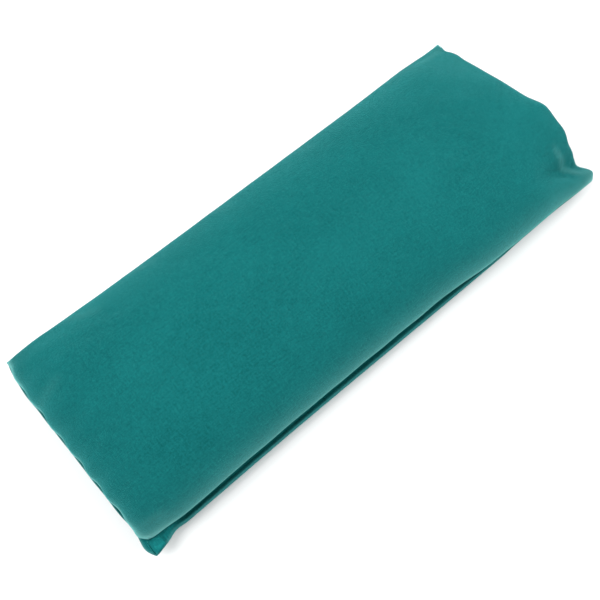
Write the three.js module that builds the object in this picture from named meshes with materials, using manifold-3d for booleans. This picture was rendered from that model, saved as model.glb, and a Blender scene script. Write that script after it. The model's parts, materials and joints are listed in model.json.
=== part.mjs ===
// A flat bolster pillow: a zipped cloth cover of two panels round a filled inner case.
// Millimetres, +Z up. +X runs along the length to the end where the zip finishes closing,
// and -Y is the long side that holds the zip. The origin is on the floor under the middle.
import * as THREE from "three";
import { mergeVertices } from "three/addons/utils/BufferGeometryUtils.js";
import Module from "manifold-3d";

const wasm = await Module();
wasm.setup();

// Driving sizes of the pillow
const LENGTH = 650; // from ear to ear
const WIDTH = 260; // from ear to ear
const HEIGHT = 85; // floor to crown
const SEAM_HEIGHT = 25.5; // floor to the perimeter seam, and to the middle of the zip
const SIDE_PULL = 7; // how far a long side draws in between its ears
const END_BULGE = 4; // how far an end is pushed out between its ears
const LIP_SETBACK = 4.5; // the top lip's edge behind the bottom panel's edge, along the zip

// Cloths and threads
const COVER_CLOTH = 1.0;
const CASE_CLOTH = 0.8;
const COVER_THREAD = 1.0; // across
const CASE_THREAD = 0.8;
const STITCH_THREAD = 0.6;

// Zip
const ZIP_NEAR_MARGIN = 32; // from the near ears to the start of the opening
const ZIP_FAR_MARGIN = 160; // from the far ears to the end of the opening
const ZIP_RAMP = 20; // past its end the opening closes over this length
const ZIP_RECESS = 9.5; // the tapes' front face behind the top lip's edge
const TAPE_THICKNESS = 0.6;
const TAPE_WIDTH = 14;
const COIL_HEIGHT = 1.95; // one row, across the zip
const COIL_DEPTH = 1.5;
const COIL_GAP = 1.1; // between the two rows, where the slider's web runs
const PLACKET_FLANGE = 10;
const SLIDER_LENGTH = 9;
const SLIDER_WIDTH = 7;
const SLIDER_PLATE = 1.0;
const SLIDER_WEB = 0.5;
const TAB_LENGTH = 20; // from the hinge line to the tip
const TAB_WIDTH = 5;
const TAB_THICKNESS = 0.9;
const STOP_LENGTH = 3;
const BRIDGE_REACH = 3; // half the bridge's length, along the zip
const BRIDGE_THICKNESS = 0.8;
const BRIDGE_WIDTH = 1.5;
const LABEL_LENGTH = 45;
const LABEL_HEIGHT = 17;
const LABEL_THICKNESS = 0.4;
const LABEL_X = -60;

// Clearances
const GAP = 0.3; // between pieces that touch on the real pillow
const SLIDER_CLEARANCE = 0.5; // above and below the slider, to the plackets
const TAB_CLEARANCE = 0.4; // round the tab's hinge bar
const CASE_CLEARANCE = 1.6; // between the cover's threads and the inner case
const ZIP_POCKET = 15; // extra room for the zip on its own side of the inner case

// How full each side of a panel is: a higher power gives a blunter edge
const END_POWER = 12;
const SIDE_POWER = 3;
const BASE_FULLNESS = 1.35; // above 1, so the middle of the base lies flat on the floor

// Where the zip lies, worked out from the sizes above
const HALF_LENGTH = LENGTH / 2;
const HALF_WIDTH = WIDTH / 2;
const ZIP_START = -HALF_LENGTH + ZIP_NEAR_MARGIN;
const ZIP_END = HALF_LENGTH - ZIP_FAR_MARGIN;
const LOWER_EDGE_Y = -(HALF_WIDTH - SIDE_PULL);
const LIP_EDGE_Y = LOWER_EDGE_Y + LIP_SETBACK;
const TAPE_Y = LIP_EDGE_Y + ZIP_RECESS;
const COIL_Y = TAPE_Y - GAP;
const PLATE_Y = COIL_Y - COIL_DEPTH - TAB_CLEARANCE;
const PLATE_FRONT_Y = PLATE_Y - SLIDER_PLATE;
const HINGE_Y = PLATE_FRONT_Y - TAB_CLEARANCE - TAB_THICKNESS / 2;
const MOUTH_HALF = SLIDER_WIDTH / 2 + SLIDER_CLEARANCE;
const RIM_LIFT = MOUTH_HALF + COVER_CLOTH + GAP; // a panel's rim from the seam level, along the zip
const COIL_START = ZIP_START + STOP_LENGTH + 2 * GAP;
const COIL_END = ZIP_END - STOP_LENGTH - 2 * GAP;
const SLIDER_X = COIL_END - GAP - SLIDER_LENGTH / 2;
const CASE_INSET = COVER_CLOTH + COVER_THREAD + CASE_THREAD + CASE_CLEARANCE;
const FILLING_INSET = CASE_INSET + CASE_CLOTH + 2 * GAP;

// Mesh stations. Rows lie closer together towards an edge, where the surface turns down.
const EDGE_ROWS = 4;
const ZIP_COLUMNS = 11;
const FAR_COLUMNS = 3;
const ROWS_ACROSS = 14;
const edgeRow = (k) => ZIP_NEAR_MARGIN * (k / EDGE_ROWS) ** 2;

// Positions along the length, each as a share of half of it, from -1 at the near end to 1.
function lengthStations() {
  const xs = [];
  for (let k = 0; k < EDGE_ROWS; k++) xs.push(edgeRow(k) - HALF_LENGTH);
  for (let k = 0; k <= ZIP_COLUMNS; k++)
    xs.push(THREE.MathUtils.lerp(ZIP_START, ZIP_END, k / ZIP_COLUMNS));
  const far = HALF_LENGTH - ZIP_NEAR_MARGIN;
  for (let k = 0; k < FAR_COLUMNS; k++)
    xs.push(THREE.MathUtils.lerp(ZIP_END + ZIP_RAMP, far, k / FAR_COLUMNS));
  for (let k = EDGE_ROWS; k >= 0; k--) xs.push(HALF_LENGTH - edgeRow(k));
  return xs.map((x) => x / HALF_LENGTH);
}

// Positions across the width, from -1 on the zip side to 1.
function widthStations() {
  return Array.from({ length: ROWS_ACROSS + 1 }, (_, k) => {
    const v = (2 * k) / ROWS_ACROSS - 1;
    return v * (2 - Math.abs(v));
  });
}

const ALONG = lengthStations();
const ACROSS = widthStations();

// 1 where the zip's opening is fully open, falling to 0 just past its two ends.
function opening(along) {
  const x = along * HALF_LENGTH;
  const nearRamp = ZIP_NEAR_MARGIN - edgeRow(EDGE_ROWS - 1);
  const near = THREE.MathUtils.clamp((x - ZIP_START) / nearRamp + 1, 0, 1);
  const far = THREE.MathUtils.clamp((ZIP_END - x) / ZIP_RAMP + 1, 0, 1);
  return near * far;
}

// The plan outline, drawn in by inset, and by pocket as well on the zip side.
function plan(along, across, inset, pocket = 0) {
  const halfLength = HALF_LENGTH + END_BULGE * (1 - across ** 6) - inset;
  const halfWidth = HALF_WIDTH - SIDE_PULL * (1 - along ** END_POWER) - inset;
  return { x: along * halfLength, y: across * (halfWidth - (across < 0 ? pocket : 0)) };
}

// 1 over the full middle, falling to 0 at the seam.
function fullness(along, across) {
  return Math.sqrt((1 - Math.abs(along) ** END_POWER) * (1 - Math.abs(across) ** SIDE_POWER));
}

// How far the rim leaves the seam level to leave the zip's mouth open.
function rimLift(along, across) {
  const nearZipSide = THREE.MathUtils.clamp((-across - 0.7) / 0.3, 0, 1);
  return GAP / 2 + (RIM_LIFT - GAP / 2) * opening(along) * nearZipSide;
}

// A point of the upper surface, inset from the cover's outside.
function upperPoint(along, across, inset, { pocket = 0, lifted = false } = {}) {
  const setback = lifted && across < 0 ? LIP_SETBACK * opening(along) : 0;
  const { x, y } = plan(along, across, inset, pocket + setback);
  const rim = SEAM_HEIGHT + (lifted ? rimLift(along, across) : GAP / 2);
  return new THREE.Vector3(x, y, rim + (HEIGHT - inset - rim) * fullness(along, across));
}

// A point of the lower surface, inset from the cover's outside.
function lowerPoint(along, across, inset, { pocket = 0, lifted = false } = {}) {
  const { x, y } = plan(along, across, inset, pocket);
  const rim = SEAM_HEIGHT - (lifted ? rimLift(along, across) : GAP / 2);
  const depth = Math.min(1, BASE_FULLNESS * fullness(along, across));
  return new THREE.Vector3(x, y, rim - (rim - inset) * depth);
}

// A closed skin between two surfaces on one grid of stations. point(along, across, side) gives
// the upper surface for side 1 and the lower for side -1. Both are split along the same
// diagonals, so a thin cloth keeps its thickness over a twisted patch.
function skin(along, across, point) {
  const columns = along.length - 1;
  const rows = across.length - 1;
  const box = new THREE.BoxGeometry(2, 2, 2, columns, rows, 1).toNonIndexed();
  const at = box.getAttribute("position");
  const [top, bottom] = [box.groups[4], box.groups[5]];
  for (let i = 0; i < top.count; i += 3) {
    [0, 2, 1].forEach((from, to) => {
      const s = top.start + i + from;
      at.setXYZ(bottom.start + i + to, at.getX(s), at.getY(s), -at.getZ(s));
    });
  }
  for (let i = 0; i < at.count; i++) {
    const column = Math.round(((at.getX(i) + 1) * columns) / 2);
    const row = Math.round(((at.getY(i) + 1) * rows) / 2);
    const p = point(along[column], across[row], Math.sign(at.getZ(i)));
    at.setXYZ(i, p.x, p.y, p.z);
  }
  box.clearGroups();
  box.computeVertexNormals();
  return box;
}

// A three.js geometry as a solid that can be joined and cut.
function solid(geometry) {
  const bare = geometry.clone();
  bare.deleteAttribute("normal");
  bare.deleteAttribute("uv");
  const merged = mergeVertices(bare, 1e-4);
  return new wasm.Manifold(
    new wasm.Mesh({
      numProp: 3,
      vertProperties: merged.attributes.position.array,
      triVerts: new Uint32Array(merged.index.array),
    }),
  );
}

// The join of several geometries as one geometry.
function joined(geometries) {
  const all = geometries.map(solid).reduce((a, b) => a.add(b));
  const mesh = all.getMesh();
  const geometry = new THREE.BufferGeometry();
  geometry.setAttribute("position", new THREE.BufferAttribute(mesh.vertProperties, 3));
  geometry.setIndex(new THREE.BufferAttribute(mesh.triVerts, 1));
  geometry.computeVertexNormals();
  return geometry;
}

// A box given by its lowest and highest corners.
function block(low, high) {
  const size = high.map((h, k) => h - low[k]);
  const middle = high.map((h, k) => (h + low[k]) / 2);
  return new THREE.BoxGeometry(...size).translate(...middle);
}

// A plate from an outline drawn in X and Z, which takes up the depth from y to y + thickness.
function plateFrom(shape, thickness, y) {
  const options = { depth: thickness, bevelEnabled: false, curveSegments: 5 };
  const plate = new THREE.ExtrudeGeometry(shape, options).rotateX(Math.PI / 2);
  return plate.translate(0, y + thickness, 0);
}

// Lays a profile that is drawn in Y and Z, and extruded, along X from x.
function alongX(profile, length, x, curveSegments = 2) {
  const toYZ = new THREE.Matrix4().makeBasis(
    new THREE.Vector3(0, 1, 0),
    new THREE.Vector3(0, 0, 1),
    new THREE.Vector3(1, 0, 0),
  );
  const options = { depth: length, bevelEnabled: false, curveSegments };
  return new THREE.ExtrudeGeometry(profile, options).applyMatrix4(toYZ).translate(x, 0, 0);
}

// A rectangle with rounded corners as a shape.
function roundedRectangle(left, bottom, right, top, radius) {
  const shape = new THREE.Shape();
  shape.moveTo(left + radius, bottom);
  shape.lineTo(right - radius, bottom);
  shape.absarc(right - radius, bottom + radius, radius, -Math.PI / 2, 0);
  shape.lineTo(right, top - radius);
  shape.absarc(right - radius, top - radius, radius, 0, Math.PI / 2);
  shape.lineTo(left + radius, top);
  shape.absarc(left + radius, top - radius, radius, Math.PI / 2, Math.PI);
  shape.lineTo(left, bottom + radius);
  shape.absarc(left + radius, bottom + radius, radius, Math.PI, 1.5 * Math.PI);
  return shape;
}

// The cover: two shells of cloth that meet at the seam and part along the zip.
function coverTopPanel() {
  return skin(ALONG, ACROSS, (u, v, side) =>
    upperPoint(u, v, side > 0 ? 0 : COVER_CLOTH, { lifted: true }),
  );
}

function coverBottomPanel() {
  return skin(ALONG, ACROSS, (u, v, side) =>
    lowerPoint(u, v, side > 0 ? COVER_CLOTH : 0, { lifted: true }),
  );
}

// The inner case: the same two shells, further in, with room left for the zip.
function caseTopPanel() {
  return skin(ALONG, ACROSS, (u, v, side) =>
    upperPoint(u, v, CASE_INSET + (side > 0 ? 0 : CASE_CLOTH), { pocket: ZIP_POCKET }),
  );
}

function caseBottomPanel() {
  return skin(ALONG, ACROSS, (u, v, side) =>
    lowerPoint(u, v, CASE_INSET + (side > 0 ? CASE_CLOTH : 0), { pocket: ZIP_POCKET }),
  );
}

// The filling: one soft body that fills the inner case.
function filling() {
  return skin(ALONG, ACROSS, (u, v, side) => {
    const surface = side > 0 ? upperPoint : lowerPoint;
    return surface(u, v, FILLING_INSET, { pocket: ZIP_POCKET });
  });
}

// A run of thread along one side of the outline, at the seam level, half as high as it is wide.
// Its stations go round the outline with the pillow on their left.
function threadRun(stations, place, inset, thickness) {
  return skin(stations, [-1, 1], (s, offset, side) => {
    const p = place(s, inset + (offset * thickness) / 2);
    return new THREE.Vector3(p.x, p.y, SEAM_HEIGHT + (side * thickness) / 4);
  });
}

// The thread cut across an ear, between the ends of the runs on its two sides.
function earLink(along, across, inset, thickness) {
  const [nextAlong, nextAcross] = [ALONG.at(along < 0 ? 1 : -2), ACROSS.at(across < 0 ? 1 : -2)];
  const a = plan(nextAlong, across, inset);
  const b = plan(along, nextAcross, inset);
  const [dx, dy] = [b.x - a.x, b.y - a.y];
  return new THREE.BoxGeometry(Math.hypot(dx, dy) + GAP, thickness * 0.7, thickness / 2)
    .rotateZ(Math.atan2(dy, dx))
    .translate((a.x + b.x) / 2, (a.y + b.y) / 2, SEAM_HEIGHT);
}

// The cover's seam thread goes all round the outline, except along the zip.
function coverSeamThread() {
  const inset = COVER_CLOTH + GAP + COVER_THREAD / 2;
  const run = (stations, place) => threadRun(stations, place, inset, COVER_THREAD);
  const sides = ALONG.slice(1, -1);
  const ends = ACROSS.slice(1, -1);
  const closed = sides.filter((s) => opening(s) < 1e-9);
  const zipSide = (s, i) => plan(s, -1, i);
  const ears = [-1, 1].flatMap((u) => [-1, 1].map((v) => earLink(u, v, inset, COVER_THREAD)));
  return joined([
    run(closed.filter((s) => s < 0), zipSide),
    run(closed.filter((s) => s > 0), zipSide),
    run(ends, (s, i) => plan(1, s, i)),
    run(sides.toReversed(), (s, i) => plan(s, 1, i)),
    run(ends.toReversed(), (s, i) => plan(-1, s, i)),
    ...ears,
  ]);
}

// The inner case's closing seam runs along the side away from the zip.
function caseSeamThread() {
  const inset = CASE_INSET - GAP - CASE_THREAD / 2;
  const stations = ALONG.slice(1, -1).toReversed();
  return threadRun(stations, (s, i) => plan(s, 1, i), inset, CASE_THREAD);
}

// A placket: cover cloth turned in under a lip and then along the front of the tape.
// up is 1 for the upper one and -1 for the lower one, here and in what follows.
function placket(up, edgeY) {
  const near = SEAM_HEIGHT + up * MOUTH_HALF;
  const leg = near + up * COVER_CLOTH;
  const tip = near + up * PLACKET_FLANGE;
  const backY = TAPE_Y - GAP;
  const corners = [
    [edgeY, near],
    [backY, near],
    [backY, tip],
    [backY - COVER_CLOTH, tip],
    [backY - COVER_CLOTH, leg],
    [edgeY, leg],
  ];
  const profile = new THREE.Shape(corners.map(([y, z]) => new THREE.Vector2(y, z)));
  return alongX(profile, ZIP_END - ZIP_START, ZIP_START);
}

function zipTape(up) {
  const inner = SEAM_HEIGHT + (up * COIL_GAP) / 2;
  const outer = inner + up * TAPE_WIDTH;
  return block(
    [ZIP_START, TAPE_Y, Math.min(inner, outer)],
    [ZIP_END, TAPE_Y + TAPE_THICKNESS, Math.max(inner, outer)],
  );
}

// One row of the coil, as the smooth outside of its turns.
function zipCoil(up) {
  const middle = SEAM_HEIGHT + (up * (COIL_GAP + COIL_HEIGHT)) / 2;
  const low = middle - COIL_HEIGHT / 2;
  const radius = COIL_DEPTH / 4;
  const section = roundedRectangle(COIL_Y - COIL_DEPTH, low, COIL_Y, low + COIL_HEIGHT, radius);
  return alongX(section, COIL_END - COIL_START, COIL_START);
}

// The stop that joins both rows at the near end.
function zipBottomStop() {
  const half = COIL_GAP / 2 + COIL_HEIGHT;
  const outline = roundedRectangle(0, -half, STOP_LENGTH, half, 0.8);
  return plateFrom(outline, COIL_DEPTH, COIL_Y - COIL_DEPTH);
}

// The stop at the far end of one row.
function zipTopStop() {
  const outline = roundedRectangle(0, -COIL_HEIGHT / 2, STOP_LENGTH, COIL_HEIGHT / 2, 0.5);
  return plateFrom(outline, COIL_DEPTH, COIL_Y - COIL_DEPTH);
}

// The slider: a plate on each side of the tapes, a web between the rows of the coil, and a
// bridge for the tab. It is drawn about its own middle along X and Z.
function sliderBody() {
  const [x, z] = [SLIDER_LENGTH / 2, SLIDER_WIDTH / 2];
  const overlap = 0.1;
  const backY = TAPE_Y + TAPE_THICKNESS + GAP;
  const outline = roundedRectangle(-x, -z, x, z, 1.6);
  const flangeInner = COIL_GAP / 2 + COIL_HEIGHT + GAP;
  const flangeX = x - 1.6;
  const flangeEndY = TAPE_Y - 1.5 * GAP;
  const bridgeY = HINGE_Y - TAB_THICKNESS / 2 - TAB_CLEARANCE;
  const bridgeZ = BRIDGE_WIDTH / 2;
  const leg = (low, high) =>
    block([low, bridgeY - BRIDGE_THICKNESS, -bridgeZ], [high, PLATE_FRONT_Y + overlap, bridgeZ]);
  const legInner = BRIDGE_REACH - BRIDGE_THICKNESS;
  return joined([
    plateFrom(outline, SLIDER_PLATE, PLATE_FRONT_Y),
    plateFrom(outline, SLIDER_PLATE, backY),
    block([-flangeX, PLATE_Y - overlap, flangeInner], [flangeX, flangeEndY, z]),
    block([-flangeX, PLATE_Y - overlap, -z], [flangeX, flangeEndY, -flangeInner]),
    block([1.2, PLATE_Y - overlap, -SLIDER_WEB / 2], [x - 0.3, backY + overlap, SLIDER_WEB / 2]),
    leg(-BRIDGE_REACH, -legInner),
    leg(legInner, BRIDGE_REACH),
    block([-BRIDGE_REACH, bridgeY - BRIDGE_THICKNESS, -bridgeZ], [BRIDGE_REACH, bridgeY, bridgeZ]),
  ]);
}

// The pull tab: a flat tongue with a window at its hinge end, whose outer bar runs under the
// slider's bridge. It is drawn about the bar's axis and reaches out along +X.
function pullTab() {
  const [bar, half] = [TAB_THICKNESS / 2, TAB_WIDTH / 2];
  const reach = Math.hypot(BRIDGE_REACH, BRIDGE_THICKNESS + TAB_CLEARANCE + bar);
  const outline = new THREE.Shape();
  outline.moveTo(-bar, -half);
  outline.lineTo(TAB_LENGTH - half, -half);
  outline.absarc(TAB_LENGTH - half, 0, half, -Math.PI / 2, Math.PI / 2);
  outline.lineTo(-bar, half);
  const windowHalf = BRIDGE_WIDTH / 2 + TAB_CLEARANCE;
  outline.holes.push(roundedRectangle(bar, -windowHalf, reach + TAB_CLEARANCE, windowHalf, 0.3));
  const eye = new THREE.Path();
  eye.absarc(TAB_LENGTH - half, 0, 1, 0, 2 * Math.PI, true);
  outline.holes.push(eye);
  return plateFrom(outline, TAB_THICKNESS, -bar);
}

// The line of stitching that holds a tape to its placket.
function tapeStitching(up) {
  const z = SEAM_HEIGHT + up * (MOUTH_HALF + PLACKET_FLANGE / 2);
  const y = TAPE_Y - GAP - COVER_CLOTH - GAP - STITCH_THREAD / 2;
  const radius = STITCH_THREAD / 2;
  return new THREE.CylinderGeometry(radius, radius, COIL_END - COIL_START, 6)
    .rotateZ(Math.PI / 2)
    .translate((COIL_START + COIL_END) / 2, y, z);
}

// The blank care label, sewn in behind the upper tape.
function careLabel() {
  const y = TAPE_Y + TAPE_THICKNESS + GAP;
  const z = SEAM_HEIGHT + MOUTH_HALF + GAP;
  return block(
    [LABEL_X, y, z],
    [LABEL_X + LABEL_LENGTH, y + LABEL_THICKNESS, z + LABEL_HEIGHT],
  );
}

const finish = (color, roughness, metalness = 0) => ({ color, roughness, metalness });
const COVER_FINISH = finish(0x1c7474, 0.85);
const THREAD_FINISH = finish(0x23807e, 0.7);
const TAPE_FINISH = finish(0x155f5f, 0.8);
const COIL_FINISH = finish(0x0f5252, 0.4);
const METAL_FINISH = finish(0x8f9494, 0.35, 0.9);
const CASE_FINISH = finish(0xe6e2d8, 0.9);
const FILLING_FINISH = finish(0xf4f3ef, 1);
const LABEL_FINISH = finish(0xf2f2f0, 0.6);

function piece(name, geometry, surface) {
  const mesh = new THREE.Mesh(geometry, new THREE.MeshStandardMaterial(surface));
  mesh.name = name;
  return mesh;
}

function groupOf(...members) {
  return new THREE.Group().add(...members);
}

function placed(object, x, y, z) {
  object.position.set(x, y, z);
  return object;
}

const cover = groupOf(
  piece("cover_top_panel", coverTopPanel(), COVER_FINISH),
  piece("cover_bottom_panel", coverBottomPanel(), COVER_FINISH),
  piece("cover_seam_thread", coverSeamThread(), THREAD_FINISH),
  piece("zip_placket_upper", placket(1, LIP_EDGE_Y), COVER_FINISH),
  piece("zip_placket_lower", placket(-1, LOWER_EDGE_Y), COVER_FINISH),
  piece("care_label", careLabel(), LABEL_FINISH),
);

const topStopZ = (COIL_GAP + COIL_HEIGHT) / 2;
const topStopX = ZIP_END - GAP - STOP_LENGTH;
const zip = groupOf(
  piece("zip_tape_upper", zipTape(1), TAPE_FINISH),
  piece("zip_tape_lower", zipTape(-1), TAPE_FINISH),
  piece("zip_coil_upper", zipCoil(1), COIL_FINISH),
  piece("zip_coil_lower", zipCoil(-1), COIL_FINISH),
  piece("zip_stitching_upper", tapeStitching(1), THREAD_FINISH),
  piece("zip_stitching_lower", tapeStitching(-1), THREAD_FINISH),
  placed(piece("zip_bottom_stop", zipBottomStop(), METAL_FINISH), ZIP_START + GAP, 0, SEAM_HEIGHT),
  placed(piece("zip_top_stop_upper", zipTopStop(), METAL_FINISH), topStopX, 0, SEAM_HEIGHT + topStopZ),
  placed(piece("zip_top_stop_lower", zipTopStop(), METAL_FINISH), topStopX, 0, SEAM_HEIGHT - topStopZ),
);

const slider = placed(
  groupOf(
    piece("zip_slider_body", sliderBody(), METAL_FINISH),
    placed(piece("zip_pull_tab", pullTab(), METAL_FINISH), 0, HINGE_Y, 0),
  ),
  SLIDER_X,
  0,
  SEAM_HEIGHT,
);

const cushion = groupOf(
  piece("inner_case_top", caseTopPanel(), CASE_FINISH),
  piece("inner_case_bottom", caseBottomPanel(), CASE_FINISH),
  piece("inner_case_seam_thread", caseSeamThread(), CASE_FINISH),
  piece("filling", filling(), FILLING_FINISH),
);

const pillow = groupOf(cover, zip, slider, cushion);

export default pillow;
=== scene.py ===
"""A flat bolster pillow in a zipped teal cotton cover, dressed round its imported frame.

The classes hold their sizes in millimetres, in the frame's own axes: +X runs along the length to
the end where the zip finishes closing, -Y is the long side with the zip, and the floor is at zero.
A size turns into metres as its mesh is written.
"""

from __future__ import annotations

import json
import logging
import math
from dataclasses import dataclass, field
from enum import Enum
from functools import cached_property
from typing import Callable, Iterable, Sequence

import bmesh
import bpy
import numpy as np
from mathutils import Matrix, Vector, noise

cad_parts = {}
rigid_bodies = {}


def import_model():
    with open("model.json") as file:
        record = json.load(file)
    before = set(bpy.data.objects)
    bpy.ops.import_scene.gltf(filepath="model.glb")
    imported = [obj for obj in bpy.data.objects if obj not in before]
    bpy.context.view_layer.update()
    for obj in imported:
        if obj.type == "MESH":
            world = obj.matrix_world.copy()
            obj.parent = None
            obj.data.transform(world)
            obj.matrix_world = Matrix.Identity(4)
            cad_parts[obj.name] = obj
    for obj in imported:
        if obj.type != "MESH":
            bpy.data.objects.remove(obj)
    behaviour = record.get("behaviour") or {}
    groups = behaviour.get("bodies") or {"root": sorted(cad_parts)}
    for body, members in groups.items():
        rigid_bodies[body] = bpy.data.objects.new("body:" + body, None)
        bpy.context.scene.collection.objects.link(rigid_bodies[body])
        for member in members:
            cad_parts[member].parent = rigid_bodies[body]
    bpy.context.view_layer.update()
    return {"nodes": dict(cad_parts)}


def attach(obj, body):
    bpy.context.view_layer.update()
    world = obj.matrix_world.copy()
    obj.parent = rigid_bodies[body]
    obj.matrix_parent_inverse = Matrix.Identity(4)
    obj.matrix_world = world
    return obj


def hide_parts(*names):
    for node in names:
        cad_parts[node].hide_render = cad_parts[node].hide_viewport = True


MM = 0.001
PILLOW = "pillow"
CUT_MAP = "cut"
# The fold layer holds each point's share of painted highlight and wear.
HIGHLIGHT_AND_WEAR_LAYER = "fold"
LOG = logging.getLogger("pillow")
Colour = tuple[float, float, float]


# ---------------------------------------------------------------------------- small shared helpers


def mix(start: float, end: float, share: float) -> float:
    """Value between two others."""
    return start + (end - start) * share


def ease(low: float, high: float, value: float) -> float:
    """Smooth step from 0 at low to 1 at high."""
    share = min(1.0, max(0.0, (value - low) / (high - low)))
    return share * share * (3.0 - 2.0 * share)


def soft_min(one: float, other: float, blend: float) -> float:
    """Smaller of two values, with their meeting rounded off.

    Args:
        one: First value.
        other: Second value.
        blend: How far apart the two are when the rounding starts.

    Returns:
        A value never above either of the two.
    """
    near = max(blend - abs(one - other), 0.0) / blend
    return min(one, other) - near * near * blend * 0.25


def swell(value: float, centre: float, spread: float) -> float:
    """Bell curve that is 1 at its centre."""
    return math.exp(-(((value - centre) / spread) ** 2))


def ripple(x: float, y: float, size: float, seed: float) -> float:
    """Smooth unevenness from about -1 to 1, the same on every run."""
    return noise.noise(Vector((x / size, y / size, seed)))


def fullness(share: float, power: float) -> float:
    """Height of a crowned profile at a share of its reach, from 1 in the middle to 0 at the edge."""
    return math.sqrt(max(0.0, 1.0 - abs(share) ** power))


def tidy_normals(bm: bmesh.types.BMesh) -> None:
    """Turns every face of a closed shape outwards."""
    bmesh.ops.recalc_face_normals(bm, faces=bm.faces)


def finish_piece(name: str, bm: bmesh.types.BMesh, material: bpy.types.Material,
                 smooth: bool = True) -> bpy.types.Object:
    """Writes a bmesh in millimetres to a new object in metres.

    Args:
        name: Name of the piece.
        bm: Its shape, freed here.
        material: Its finish.
        smooth: Whether its faces are shaded smooth.

    Returns:
        The object, at the origin, unturned and unscaled.
    """
    bmesh.ops.scale(bm, vec=(MM, MM, MM), verts=bm.verts)
    mesh = bpy.data.meshes.new(name)
    bm.to_mesh(mesh)
    bm.free()
    mesh.materials.append(material)
    mesh.polygons.foreach_set("use_smooth", [smooth] * len(mesh.polygons))
    piece = bpy.data.objects.new(name, mesh)
    bpy.context.scene.collection.objects.link(piece)
    return piece


def points_of(mesh: bpy.types.Mesh) -> np.ndarray:
    """Every point of a mesh, one row each.

    Args:
        mesh: The mesh.

    Returns:
        The points, in the mesh's own order.
    """
    flat = np.empty(len(mesh.vertices) * 3)
    mesh.vertices.foreach_get("co", flat)
    return flat.reshape(-1, 3)


def thicken(piece: bpy.types.Object, thickness: float, offset: float = 0.0) -> None:
    """Gives a layer of cloth its thickness.

    Args:
        piece: The single layer.
        thickness: Of the cloth, in millimetres.
        offset: 0 where the layer is the cloth's middle, -1 where it is its outer face.
    """
    wall = piece.modifiers.new("cloth", "SOLIDIFY")
    wall.thickness = thickness * MM
    wall.offset = offset


def dress(piece: bpy.types.Object, node: str) -> None:
    """Args:
        piece: The finished piece, which rides on the pillow.
        node: The frame node.
    """
    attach(piece, PILLOW)
    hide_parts(node)
    LOG.info("built %s on %s", piece.name, PILLOW)


# ---------------------------------------------------------------------------------------- finishes


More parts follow.
